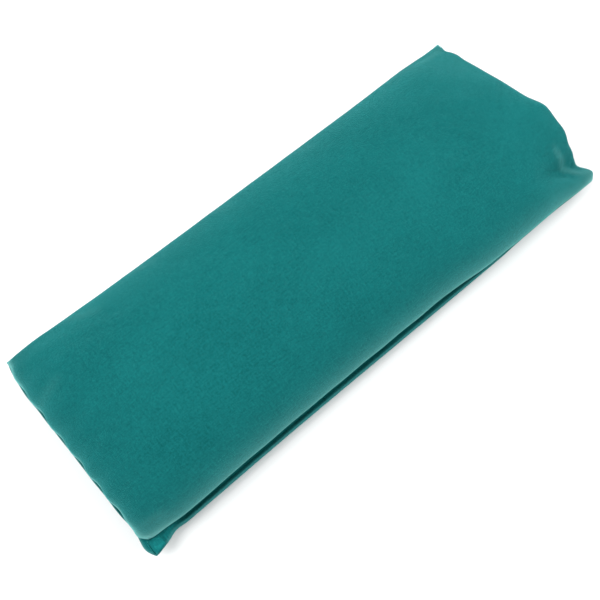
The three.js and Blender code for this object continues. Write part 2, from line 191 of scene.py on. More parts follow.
class NodeSheet:
    """The node tree of one material, with its shader ready to wire."""

    def __init__(self, name: str) -> None:
        """Starts a material with a Principled shader.

        Args:
            name: Name of the material.
        """
        self.material = bpy.data.materials.new(name)
        self.material.use_nodes = True
        self.tree = self.material.node_tree
        self.shader = self.tree.nodes["Principled BSDF"]

    def add(self, kind: str, **settings: object) -> bpy.types.Node:
        """Adds a node.

        Args:
            kind: Its type.
            settings: Its properties, and its inputs with spaces as underscores.

        Returns:
            The node.
        """
        node = self.tree.nodes.new(kind)
        for key, value in settings.items():
            if hasattr(node, key):
                setattr(node, key, value)
            else:
                node.inputs[key.replace("_", " ")].default_value = value
        return node

    def wire(self, source: bpy.types.NodeSocket, target: bpy.types.NodeSocket) -> None:
        """Links one socket to another."""
        self.tree.links.new(source, target)

    def shade(self, **values: object) -> None:
        """Sets uniform values on the shader's own sockets."""
        for key, value in values.items():
            self.shader.inputs[key.replace("_", " ")].default_value = value

    def feed(self, value: object, slot: bpy.types.NodeSocket) -> None:
        """Links a socket to an input, or sets the input.

        Args:
            value: A socket, a number or a colour.
            slot: The input.
        """
        if isinstance(value, bpy.types.NodeSocket):
            self.wire(value, slot)
        else:
            slot.default_value = (*value, 1.0) if isinstance(value, tuple) else value

    def place(self) -> bpy.types.NodeSocket:
        """Adds the object's own coordinates."""
        return self.add("ShaderNodeTexCoord").outputs["Object"]

    def math(self, operation: str, *values: object, clamp: bool = False) -> bpy.types.NodeSocket:
        """Adds a Math node.

        Args:
            operation: What it works out.
            values: The sockets and numbers that it works on.
            clamp: Whether the result is kept from 0 to 1.

        Returns:
            Its result.
        """
        node = self.add("ShaderNodeMath", operation=operation, use_clamp=clamp)
        for value, slot in zip(values, node.inputs):
            self.feed(value, slot)
        return node.outputs[0]

    def speckle(self, place: bpy.types.NodeSocket, scale: Sequence[float], detail: float = 2.0,
                rough: float = 0.5) -> bpy.types.NodeSocket:
        """Adds noise on a stretched copy of a place.

        Args:
            place: Coordinates in metres.
            scale: Lumps per metre along each of their axes.
            detail: Octaves of finer noise.
            rough: Share of each finer octave.

        Returns:
            The noise, about 0.5 on average.
        """
        turn = self.add("ShaderNodeMapping", Scale=tuple(scale))
        self.wire(place, turn.inputs["Vector"])
        lumps = self.add("ShaderNodeTexNoise", Scale=1.0, Detail=detail, Roughness=rough)
        self.wire(turn.outputs["Vector"], lumps.inputs["Vector"])
        return lumps.outputs["Fac"]

    def threads(self, place: bpy.types.NodeSocket, pitch: float, axis: str) -> bpy.types.NodeSocket:
        """Adds parallel threads.

        Args:
            place: Coordinates in metres.
            pitch: Metres from thread to thread.
            axis: The axis that the threads are counted along, X or Y.

        Returns:
            Their height, from 0 to 1.
        """
        wave = self.add("ShaderNodeTexWave", wave_type="BANDS", bands_direction=axis,
                        Scale=math.tau / 20.0 / pitch)
        self.wire(place, wave.inputs["Vector"])
        return wave.outputs["Fac"]

    def blend(self, base: object, over: object, share: bpy.types.NodeSocket) -> bpy.types.NodeSocket:
        """Mixes two colours.

        Args:
            base: A colour, or a socket that gives one.
            over: The other colour.
            share: How much of the other colour shows, from 0 to 1.

        Returns:
            The mixed colour.
        """
        node = self.add("ShaderNodeMix", data_type="RGBA")
        for slot, value in (("A", base), ("B", over), ("Factor", share)):
            self.feed(value, node.inputs[slot])
        return node.outputs["Result"]

    def emboss(self, height: bpy.types.NodeSocket, depth: float,
               below: bpy.types.NodeSocket | None = None) -> bpy.types.NodeSocket:
        """Adds a relief.

        Args:
            height: The relief, from 0 to 1.
            depth: Its depth in metres.
            below: A coarser relief that this one refines.

        Returns:
            The surface's direction under the relief.
        """
        bump = self.add("ShaderNodeBump", Strength=1.0, Distance=depth)
        self.wire(height, bump.inputs["Height"])
        if below is not None:
            self.wire(below, bump.inputs["Normal"])
        return bump.outputs["Normal"]

    def surface(self, **sources: bpy.types.NodeSocket) -> None:
        """Wires patterns to the shader's inputs, named with spaces as underscores."""
        for key, source in sources.items():
            self.wire(source, self.shader.inputs[key.replace("_", " ")])


class ClothPlace(Enum):
    """Where a woven finish reads its threads' places."""

    FLAT_CUT = "the cloth as it was cut, from the piece's own UV map"
    OBJECT = "the object's own axes"


@dataclass(frozen=True)
class WovenCloth:
    """A woven cloth with slubs, mottling and a fibre sheen, its folds lightened with painted highlight and
    wear.
    """

    name: str
    dark: Colour
    light: Colour
    # The pale colour that painted highlight and wear give the hems, the zip side's edge and the crease
    # ridges.
    highlight_and_wear_colour: Colour
    thread_pitch: float = 0.00075
    mottle: float = 2.6
    specks: float = 0.9
    relief: float = 0.0006
    sheen: float = 0.5
    sheen_roughness: float = 0.2
    sheen_tint: Colour = (0.18, 0.95, 0.95)
    roughness: float = 0.88
    roughness_spread: float = 0.12
    specular: float = 0.03
    place: ClothPlace = ClothPlace.FLAT_CUT
    slubs: tuple[Colour, Colour] = ((70.0, 900.0, 200.0), (900.0, 90.0, 200.0))
    fleck_scale: Colour = (420.0, 420.0, 420.0)
    cloud_scale: Colour = (11.0, 14.0, 11.0)
    cloud_share: float = 0.7
    lint_scale: Colour = (820.0, 940.0, 820.0)
    lint_start: float = 0.6
    lint_gain: float = 9.0
    # Base share of the painted highlight and wear, to which the flecks add.
    highlight_and_wear_start: float = 0.45

    def tone(self, sheet: NodeSheet, place: bpy.types.NodeSocket,
             grain: bpy.types.NodeSocket) -> bpy.types.NodeSocket:
        """Adds the share of the light colour: grain, broad clouds and specks of lint.

        Args:
            sheet: The material's nodes.
            place: Where each thread lies.
            grain: Slubs and flecks, about 1 on average.

        Returns:
            The share, from 0 to 1.
        """
        cloud = sheet.math("SUBTRACT", sheet.speckle(place, self.cloud_scale), 0.5)
        lint = sheet.math("SUBTRACT", sheet.speckle(place, self.lint_scale, 1.0), self.lint_start)
        speck = sheet.math("MULTIPLY", lint, self.lint_gain, clamp=True)
        tone = sheet.math("MULTIPLY_ADD", grain, self.mottle, 0.5 - self.mottle)
        tone = sheet.math("ADD", tone, sheet.math("MULTIPLY", cloud, self.cloud_share))
        return sheet.math("ADD", tone, sheet.math("MULTIPLY", speck, self.specks), clamp=True)

    def make(self) -> bpy.types.Material:
        """Builds the material.

        Returns:
            The material, ready to put on a piece.
        """
        sheet = NodeSheet(self.name)
        if self.place is ClothPlace.FLAT_CUT:
            place = sheet.add("ShaderNodeUVMap", uv_map=CUT_MAP).outputs["UV"]
        else:
            place = sheet.place()
        weave = sheet.math("MULTIPLY", *(sheet.threads(place, self.thread_pitch, axis) for axis in "XY"))
        slub = sheet.math("ADD", *(sheet.speckle(place, scale, 3.0, 0.6) for scale in self.slubs))
        fleck = sheet.speckle(place, self.fleck_scale, 4.0, 0.8)
        grain = sheet.math("ADD", sheet.math("MULTIPLY", slub, 0.5), fleck)
        cloth = sheet.blend(self.dark, self.light, self.tone(sheet, place, grain))
        # Painted highlight and wear: the fold layer blends the cloth toward the pale colour along hems, the
        # zip side's edge, the near end and crease ridges, broken up by the flecks.
        highlight_and_wear_mask = sheet.add("ShaderNodeAttribute", attribute_name=HIGHLIGHT_AND_WEAR_LAYER).outputs["Fac"]
        highlight_and_wear_share = sheet.math("MULTIPLY", highlight_and_wear_mask, sheet.math("ADD", fleck, self.highlight_and_wear_start), clamp=True)
        sheet.surface(
            Base_Color=sheet.blend(cloth, self.highlight_and_wear_colour, highlight_and_wear_share),
            Roughness=sheet.math("MULTIPLY_ADD", fleck, self.roughness_spread,
                                 self.roughness - self.roughness_spread / 2.0),
            Normal=sheet.emboss(weave, self.relief / 2.0, sheet.emboss(grain, self.relief)))
        sheet.shade(Specular_IOR_Level=self.specular, Sheen_Weight=self.sheen,
                    Sheen_Roughness=self.sheen_roughness, Sheen_Tint=(*self.sheen_tint, 1.0))
        return sheet.material


@dataclass(frozen=True)
class Filament:
    """A twisted thread or a moulded filament: fine ribs across it and a soft gloss."""

    name: str
    dark: Colour
    light: Colour
    rib_pitch: float = 0.0004
    roughness: float = 0.5
    sheen: float = 0.25
    roughness_spread: float = 0.16
    relief: float = 0.00006

    def make(self) -> bpy.types.Material:
        """Builds the material.

        Returns:
            The material, ready to put on a piece.
        """
        sheet = NodeSheet(self.name)
        place = sheet.place()
        turn = sheet.add("ShaderNodeMapping", Rotation=(0.4, 0.5, 0.7))
        sheet.wire(place, turn.inputs["Vector"])
        ribs = sheet.threads(turn.outputs["Vector"], self.rib_pitch, "X")
        lumps = sheet.speckle(place, (600.0, 600.0, 600.0), 2.0)
        tone = sheet.math("MULTIPLY", sheet.math("ADD", ribs, lumps), 0.5)
        sheet.surface(
            Base_Color=sheet.blend(self.dark, self.light, tone),
            Roughness=sheet.math("MULTIPLY_ADD", lumps, self.roughness_spread,
                                 self.roughness - self.roughness_spread / 2.0),
            Normal=sheet.emboss(ribs, self.relief))
        sheet.shade(Sheen_Weight=self.sheen, Specular_IOR_Level=0.4)
        return sheet.material


@dataclass(frozen=True)
class ZipMetal:
    """Painted die-cast metal, rubbed and finely scratched by use."""

    name: str
    paint: Colour
    rubbed: Colour
    roughness: float = 0.34
    wear_start: float = 0.52
    wear_gain: float = 5.0
    relief: float = 0.00004

    def make(self) -> bpy.types.Material:
        """Builds the material.

        Returns:
            The material, ready to put on a piece.
        """
        sheet = NodeSheet(self.name)
        place = sheet.place()
        pits = sheet.speckle(place, (900.0, 900.0, 900.0), 3.0)
        scratch = sheet.speckle(place, (160.0, 2600.0, 2600.0), 2.0)
        wear = sheet.math("SUBTRACT", scratch, self.wear_start)
        wear = sheet.math("MULTIPLY", wear, self.wear_gain, clamp=True)
        sheet.surface(
            Base_Color=sheet.blend(self.paint, self.rubbed, wear),
            Metallic=wear,
            Roughness=sheet.math("MULTIPLY_ADD", pits, 0.3, self.roughness - 0.12),
            Normal=sheet.emboss(pits, self.relief))
        sheet.shade(Coat_Weight=0.25, Coat_Roughness=0.2)
        return sheet.material


@dataclass(frozen=True)
class FibreFill:
    """Loose polyester fibre: soft white tufts."""

    name: str
    shadow: Colour = (0.62, 0.62, 0.60)
    light: Colour = (0.88, 0.88, 0.86)
    tuft_relief: float = 0.003
    hair_relief: float = 0.0006

    def make(self) -> bpy.types.Material:
        """Builds the material.

        Returns:
            The material, ready to put on a piece.
        """
        sheet = NodeSheet(self.name)
        place = sheet.place()
        tufts = sheet.speckle(place, (60.0, 60.0, 60.0), 5.0, 0.65)
        hairs = sheet.speckle(place, (260.0, 900.0, 500.0), 3.0, 0.6)
        tone = sheet.math("MULTIPLY", sheet.math("ADD", tufts, hairs), 0.5)
        sheet.surface(
            Base_Color=sheet.blend(self.shadow, self.light, tone),
            Normal=sheet.emboss(hairs, self.hair_relief, sheet.emboss(tufts, self.tuft_relief)))
        sheet.shade(Roughness=0.95, Sheen_Weight=0.6, Sheen_Roughness=0.6)
        return sheet.material


@dataclass(frozen=True)
class StudioFloor:
    """A pale matte ground with the faintest mottling."""

    name: str = "studio_floor"
    dark: Colour = (0.90, 0.90, 0.90)
    light: Colour = (0.94, 0.94, 0.94)

    def make(self) -> bpy.types.Material:
        """Builds the material.

        Returns:
            The material, ready to put on a piece.
        """
        sheet = NodeSheet(self.name)
        place = sheet.place()
        cloud = sheet.speckle(place, (4.0, 4.0, 4.0), 2.0)
        sheet.surface(Base_Color=sheet.blend(self.dark, self.light, cloud))
        sheet.shade(Roughness=0.9, Specular_IOR_Level=0.1)
        return sheet.material


@dataclass
class Finishes:
    """Every finish of the pillow, made once."""

    cover: bpy.types.Material = field(init=False)
    thread: bpy.types.Material = field(init=False)
    tape: bpy.types.Material = field(init=False)
    coil: bpy.types.Material = field(init=False)
    metal: bpy.types.Material = field(init=False)
    case: bpy.types.Material = field(init=False)
    filling: bpy.types.Material = field(init=False)
    label: bpy.types.Material = field(init=False)
    floor: bpy.types.Material = field(init=False)

    def __post_init__(self) -> None:
        """Builds the materials."""
        # The third colour is the pale teal of the painted highlight and wear on the panels' hems and ridges.
        teal = WovenCloth("cover_cloth", (0.0036, 0.102, 0.104), (0.0086, 0.174, 0.174), (0.19, 0.51, 0.49))
        self.cover = teal.make()
        self.thread = Filament("sewing_thread", (0.004, 0.12, 0.12), (0.02, 0.24, 0.24)).make()
        self.tape = WovenCloth("zip_tape", (0.004, 0.09, 0.09), (0.012, 0.15, 0.15), (0.03, 0.2, 0.2),
                               thread_pitch=0.0006, place=ClothPlace.OBJECT).make()
        self.coil = Filament("zip_coil", (0.006, 0.10, 0.10), (0.02, 0.17, 0.17), 0.0009, 0.32, 0.0).make()
        self.metal = ZipMetal("zip_metal", (0.012, 0.13, 0.13), (0.55, 0.56, 0.55)).make()
        self.case = WovenCloth("case_cloth", (0.70, 0.69, 0.66), (0.84, 0.83, 0.80), (0.9, 0.9, 0.88),
                               sheen_tint=(1.0, 1.0, 1.0), place=ClothPlace.OBJECT).make()
        self.filling = FibreFill("fibre_filling").make()
        self.label = WovenCloth("label_cloth", (0.80, 0.80, 0.78), (0.92, 0.92, 0.90), (0.95, 0.95, 0.93),
                                thread_pitch=0.0004, mottle=0.25, sheen=0.2, sheen_tint=(1.0, 1.0, 1.0),
                                place=ClothPlace.OBJECT).make()
        self.floor = StudioFloor().make()


# -------------------------------------------------------------------------------- the pillow's form


@dataclass(frozen=True)
class Roundness:
    """One side-to-side profile: full over the middle, turning down to vertical at its two edges."""

    power: float
    reach: float
    rise: float
    steps: int = 400

    def stations(self) -> tuple[np.ndarray, np.ndarray]:
        """Steps along the profile, from the middle to the edge.

        Returns:
            The steps' shares of the arc length, and their shares of the reach.
        """
        turn = np.linspace(math.pi / 2, 0.0, self.steps)
        out = np.cos(turn) ** (2.0 / self.power)
        up = np.sin(turn)
        steps = np.hypot(np.diff(out * self.reach), np.diff(up * self.rise))
        run = np.concatenate([[0.0], np.cumsum(steps)])
        return run / run[-1], out

    def place(self, shares: np.ndarray) -> np.ndarray:
        """Turns even steps over the cloth, from -1 to 1, into places across the pillow."""
        run, out = self.stations()
        return np.sign(shares) * np.interp(np.abs(shares), run, out)


@dataclass(frozen=True)
class Dent:
    """A smooth bulge, or a dent where its height is below 0, at one place along a line."""

    centre: float
    spread: float
    height: float


def bulge(dents: Iterable[Dent], value: float) -> float:
    """Total height of some dents at a place."""
    return sum(dent.height * swell(value, dent.centre, dent.spread) for dent in dents)


@dataclass(frozen=True)
class Crease:
    """A soft ridge or furrow in the cloth, along a gently bent line."""

    start: tuple[float, float]
    bend: tuple[float, float]
    end: tuple[float, float]
    height: float
    width: float
    steps: int = 24

    @cached_property
    def line(self) -> np.ndarray:
        """Points along the crease, in plan.

        Returns:
            The points, one row each.
        """
        share = np.linspace(0.0, 1.0, self.steps)[:, None]
        start, bend, end = (np.array(p) for p in (self.start, self.bend, self.end))
        return (1 - share) ** 2 * start + 2 * share * (1 - share) * bend + share**2 * end

    @cached_property
    def bounds(self) -> tuple[np.ndarray, np.ndarray]:
        """Lowest and highest place that the crease can reach."""
        reach = 2.6 * self.width
        return self.line.min(axis=0) - reach, self.line.max(axis=0) + reach

    def lift(self, x: float, y: float) -> float:
        """Works out how far the crease lifts the cloth.

        Args:
            x: Place along, in plan.
            y: Place across.

        Returns:
            The lift, below 0 in a furrow.
        """
        low, high = self.bounds
        if not (low[0] < x < high[0] and low[1] < y < high[1]):
            return 0.0
        away = np.hypot(*(self.line - (x, y)).T)
        nearest = int(away.argmin())
        taper = math.sin(math.pi * min(1.0, (nearest + 1.5) / self.steps)) ** 0.5
        return self.height * taper * swell(float(away[nearest]), 0.0, self.width)


@dataclass(frozen=True)
class PillowForm:
    """The outside of the filled cover: its two outlines, its height, and its slumped far end."""

    half_length: float = 325.0
    half_width: float = 130.0
    crown: float = 85.0
    seam: float = 25.5
    near_bulge: float = 5.4
    far_bulge: float = 2.0
    side_pull: float = 7.0
    zip_side_near: float = 126.3
    zip_side_far: float = 130.8
    lip_setback: float = 5.2
    lip_rise: float = 5.4
    lip_roll: float = 3.4
    seam_roll: float = 0.9
    mouth_start: float = -293.0
    mouth_end: float = 165.0
    corner_radius: float = 18.0
    corner_gape: float = 0.5
    near_flange: float = 1.6
    corner_back: float = 2.5
    ear_radius: float = 6.0
    end_power: float = 12.0
    near_power: float = 8.0
    blunt_power: float = 30.0
    side_power: float = 3.0
    side_swell: float = 3.4
    base_fullness: float = 1.35
    far_peak: float = -37.0
    far_peak_share: float = 0.87
    far_low_share: float = 0.25
    far_plain_end: float = 102.0
    far_zip_end: float = -98.0
    far_climb_power: float = 0.4
    plain_share: float = 0.555
    slump_length: float = 95.0
    waviness: float = 0.5
    scallop: float = 34.0
    scallop_start: float = 14.0
    scallop_depth: float = 1.1
    ear_reach: float = 30.0
    near_ear_tuck: float = 1.6
    far_ear: float = 1.4
    near_dents: tuple[Dent, ...] = (Dent(-93.0, 9.0, 0.8), Dent(-119.0, 12.0, -5.0), Dent(90.0, 16.0, -0.9))
    far_dents: tuple[Dent, ...] = (Dent(-104.5, 5.5, -5.6), Dent(-122.0, 8.0, 6.0),
                                   Dent(115.0, 4.5, -3.0), Dent(98.0, 8.0, 1.6))
    ears: tuple[tuple[float, float, float], ...] = (
        (325.0, -130.0, 5.5),
        (325.0, 130.0, 2.0),
        (-325.0, 130.0, 0.5),
        (-326.0, -132.0, 1.5),
    )

    # Outlines in plan

    def seam_level(self, x: float, y: float) -> float:
        """Height of the seam, which droops toward the empty ears.

        Args:
            x: Place along.
            y: Place across.

        Returns:
            The height above the floor.
        """
        falls = (fall * swell(math.hypot(x - ear_x, y - ear_y), 0.0, self.ear_reach)
                 for ear_x, ear_y, fall in self.ears)
        return self.seam - sum(falls)

    def lip_back(self, y: float) -> float:
        """How far the upper panel's near edge stands behind the lower panel's, in shallow scallops.

        Args:
            y: Place across.

        Returns:
            The distance, 0 near the two sides.
        """
        wave = math.sin(math.tau * (y - self.scallop_start) / self.scallop)
        scallops = self.scallop_depth * wave + self.waviness * ripple(y, 8.0, 30.0, 5.5)
        return (1.0 + self.near_flange + scallops) * ease(1.0, 0.9, abs(y) / self.half_width)

    def near_edge(self, y: float) -> float:
        """The near end's seam, at a place across the width.

        Args:
            y: Place across.

        Returns:
            Its place along.
        """
        side = abs(y) / self.half_width
        edge = -(self.half_length + self.near_bulge * (1.0 - min(1.0, side) ** 6))
        wave = self.waviness * ripple(y, 0.0, 21.0, 4.7) * ease(1.02, 0.9, side)
        return edge + bulge(self.near_dents, y) + wave

    def far_edge(self, y: float) -> float:
        """The far end's seam."""
        side = min(1.0, abs(y) / self.half_width)
        return self.half_length + self.far_bulge * (1.0 - side**8) + bulge(self.far_dents, y)

    def plain_edge(self, x: float) -> float:
        """The seam along the side without the zip.

        Args:
            x: Place along.

        Returns:
            Its place across.
        """
        along = min(1.0, abs(x) / self.half_length)
        ears = 1.3 * ease(250.0, 300.0, x) + 0.8 * ease(-250.0, -300.0, x)
        return self.half_width - (self.side_pull + 1.0) * (1.0 - along**5) + ears * (1.0 - along**12)

    def zip_side(self, x: float) -> float:
        """How far the zip side stands out from the middle, with its far ear.

        Args:
            x: Place along.

        Returns:
            The distance in millimetres.
        """
        share = (x + self.half_length) / (2.0 * self.half_length)
        edge = mix(self.zip_side_near, self.zip_side_far, ease(0.2, 0.85, share))
        return edge + self.far_ear * ease(245.0, 300.0, x)

    def strip_edge(self, x: float) -> float:
        """The lower panel's outer edge along the zip side, with its near ear."""
        near_ear = 4.2 * ease(-297.0, -316.0, x) + 2.2 * ease(-314.0, -325.0, x)
        return -(self.zip_side(x) + near_ear - self.near_ear_tuck * swell(x, -296.0, 7.0))

    def lip_edge(self, x: float) -> float:
        """The upper panel's outer edge along the zip side."""
        back = self.lip_setback * ease(160.0, 55.0, x) + self.corner_back * ease(-280.0, -315.0, x)
        return -(self.zip_side(x) - back + ripple(x, 3.0, 42.0, 1.3))

    def gape(self, x: float, y: float) -> float:
        """Works out how far the mouth stands open at an edge point.

        Args:
            x: Place along.
            y: Place across.

        Returns:
            1 along the zip, 0 at a closed seam.
        """
        along = ease(self.mouth_end + 30.0, self.mouth_end + 4.0, x) * ease(-104.0, -116.0, y)
        round_corner = ease(-78.0, -108.0, y) * ease(-290.0, -320.0, x)
        return max(along, round_corner) * mix(self.corner_gape, 1.0, ease(-324.0, -296.0, x))

    # Heights

    def far_share(self, y: float) -> float:
        """How high the far end's top edge stands, as a share of the dome there.

        Args:
            y: Place across.

        Returns:
            The share, from 0 to 1.
        """
        slope = (self.far_peak_share - self.far_low_share) / (self.far_plain_end - self.far_peak)
        plain_side = self.far_low_share + slope * (self.far_plain_end - y)
        climb = max(0.0, y - self.far_zip_end) / (self.far_peak - self.far_zip_end)
        return max(0.0, soft_min(plain_side, self.far_peak_share * climb**self.far_climb_power, 0.012))

    def dome(self, along: float, across: float, y: float) -> float:
        """Share of the full height over a place.

        Args:
            along: Share of the half length.
            across: Share of the half width.
            y: Place across, in millimetres.

        Returns:
            The share, from 0 at the seam to 1.
        """
        side = fullness(across, self.side_power)
        if along < 0.0:
            return side * fullness(along, self.near_power)
        share = self.far_share(y)
        extra = min(1.0, max(0.0, share - self.plain_share) / (self.far_peak_share - self.plain_share))
        power = mix(self.end_power, self.blunt_power, extra)
        end = fullness(along, power)
        start = 1.0 - self.slump_length / self.half_length
        slump = mix(1.0, min(1.0, share / self.plain_share), ease(start, 0.985, along))
        return side * end * slump

    def base(self, u: float, v: float) -> float:
        """How near the floor the base is at two shares of the form, from 0 at the seam to 1."""
        full = self.base_fullness * fullness(v, self.side_power) * fullness(u, self.end_power)
        return soft_min(full, 1.0, 0.25)

    def round_corner(self, x: float, y: float, tip_x: float, tip_y: float,
                     radius: float) -> tuple[float, float]:
        """Rounds one square corner of a plan.

        Args:
            x: Place along.
            y: Place across.
            tip_x: Where the square corner is, along.
            tip_y: Where it is, across.
            radius: Of the rounding.

        Returns:
            The place, drawn in if it was in the corner.
        """
        way_x = math.copysign(1.0, tip_x)
        way_y = math.copysign(1.0, tip_y)
        centre_x = tip_x - way_x * radius
        centre_y = tip_y - way_y * radius
        u = (x - centre_x) * way_x / radius
        v = (y - centre_y) * way_y / radius
        if u <= 0.0 or v <= 0.0:
            return x, y
        u_round = u * math.sqrt(1.0 - min(v, 1.0) ** 2 / 2.0)
        v_round = v * math.sqrt(1.0 - min(u, 1.0) ** 2 / 2.0)
        return centre_x + way_x * u_round * radius, centre_y + way_y * v_round * radius

    def rounded(self, x: float, y: float, upper: bool) -> tuple[float, float]:
        """Rounds the blunt far ear, and the upper panel's corner over the near ear, on the zip side.

        Args:
            x: Place along.
            y: Place across.
            upper: Whether the place is on the upper panel.

        Returns:
            The rounded place.
        """
        x, y = self.round_corner(x, y, self.half_length + 1.5, -self.half_width - 0.6, self.ear_radius)
        if not upper:
            return x, y
        lip = -self.zip_side_near + self.lip_setback
        return self.round_corner(x, y, -self.half_length - 4.5, lip, self.corner_radius)


@dataclass(frozen=True)
class FlatCut:
    """A panel as it is cut: even steps over the flat cloth, and a turned edge all round."""

    half_length: float
    half_width: float
    columns: int = 130
    rows: int = 66
    turning: float = 6.0
    turned: int = 6
    hem: float = 1.2

    @property
    def lines(self) -> tuple[int, int]:
        """Grid steps along and across, with a hem line inside each edge and the turning outside it."""
        return self.columns + 2 * self.turned + 2, self.rows + 2 * self.turned + 2

    @property
    def size(self) -> tuple[float, float]:
        """Width and length that the cloth is cut to, in metres."""
        return 2.0 * MM * (self.half_width + self.turning), 2.0 * MM * (self.half_length + self.turning)

    def step(self, line: int, count: int, half: float) -> tuple[float, float]:
        """Splits a grid line's number into its place from -1 to 1 and its depth in the turning.

        Args:
            line: The grid line's number, from 0.
            count: Even steps between the two edges.
            half: Half the distance between the edges, in millimetres.

        Returns:
            The place, and the signed depth past the edge from -1 to 1.
        """
        inner = line - self.turned
        last = count + 2
        place = (inner - 1) / count * 2.0 - 1.0
        if inner <= 1 or inner >= last - 1:
            edge = 1.0 - (self.hem / half if inner in (1, last - 1) else 0.0)
            place = -edge if inner <= 1 else edge
        over = max(0, -inner) - max(0, inner - last)
        return place, -over / self.turned

    def edge(self, along: float, over: float) -> float:
        """Millimetres of flat cloth from a place to the nearest edge."""
        return min((1.0 - abs(along)) * self.half_length, (1.0 - abs(over)) * self.half_width)

    def weave(self, place: Callable[[float, float, float, float], tuple[Vector, float]]) -> bmesh.types.BMesh:
        """Makes the panel's mesh.

        Args:
            place: Gives a point in millimetres and its share of painted highlight and wear, from its two
                places and two depths.

        Returns:
            The mesh, with its flat cut in the UV map and its painted highlight and wear in the fold layer.
        """
        bm = bmesh.new()
        across, up = self.lines
        bmesh.ops.create_grid(bm, x_segments=across, y_segments=up, size=1.0)
        flat = bm.loops.layers.uv.new(CUT_MAP)
        fold = bm.verts.layers.float.new(HIGHLIGHT_AND_WEAR_LAYER)
        for vert in bm.verts:
            i = round((vert.co.x + 1.0) / 2.0 * across)
            j = round((vert.co.y + 1.0) / 2.0 * up)
            along, end_depth = self.step(i, self.columns, self.half_length)
            over, side_depth = self.step(j, self.rows, self.half_width)
            cut = (along * self.half_length + end_depth * self.turning,
                   over * self.half_width + side_depth * self.turning)
            for loop in vert.link_loops:
                loop[flat].uv = (cut[0] * MM, cut[1] * MM)
            vert.co, vert[fold] = place(along, over, end_depth, side_depth)
        return bm


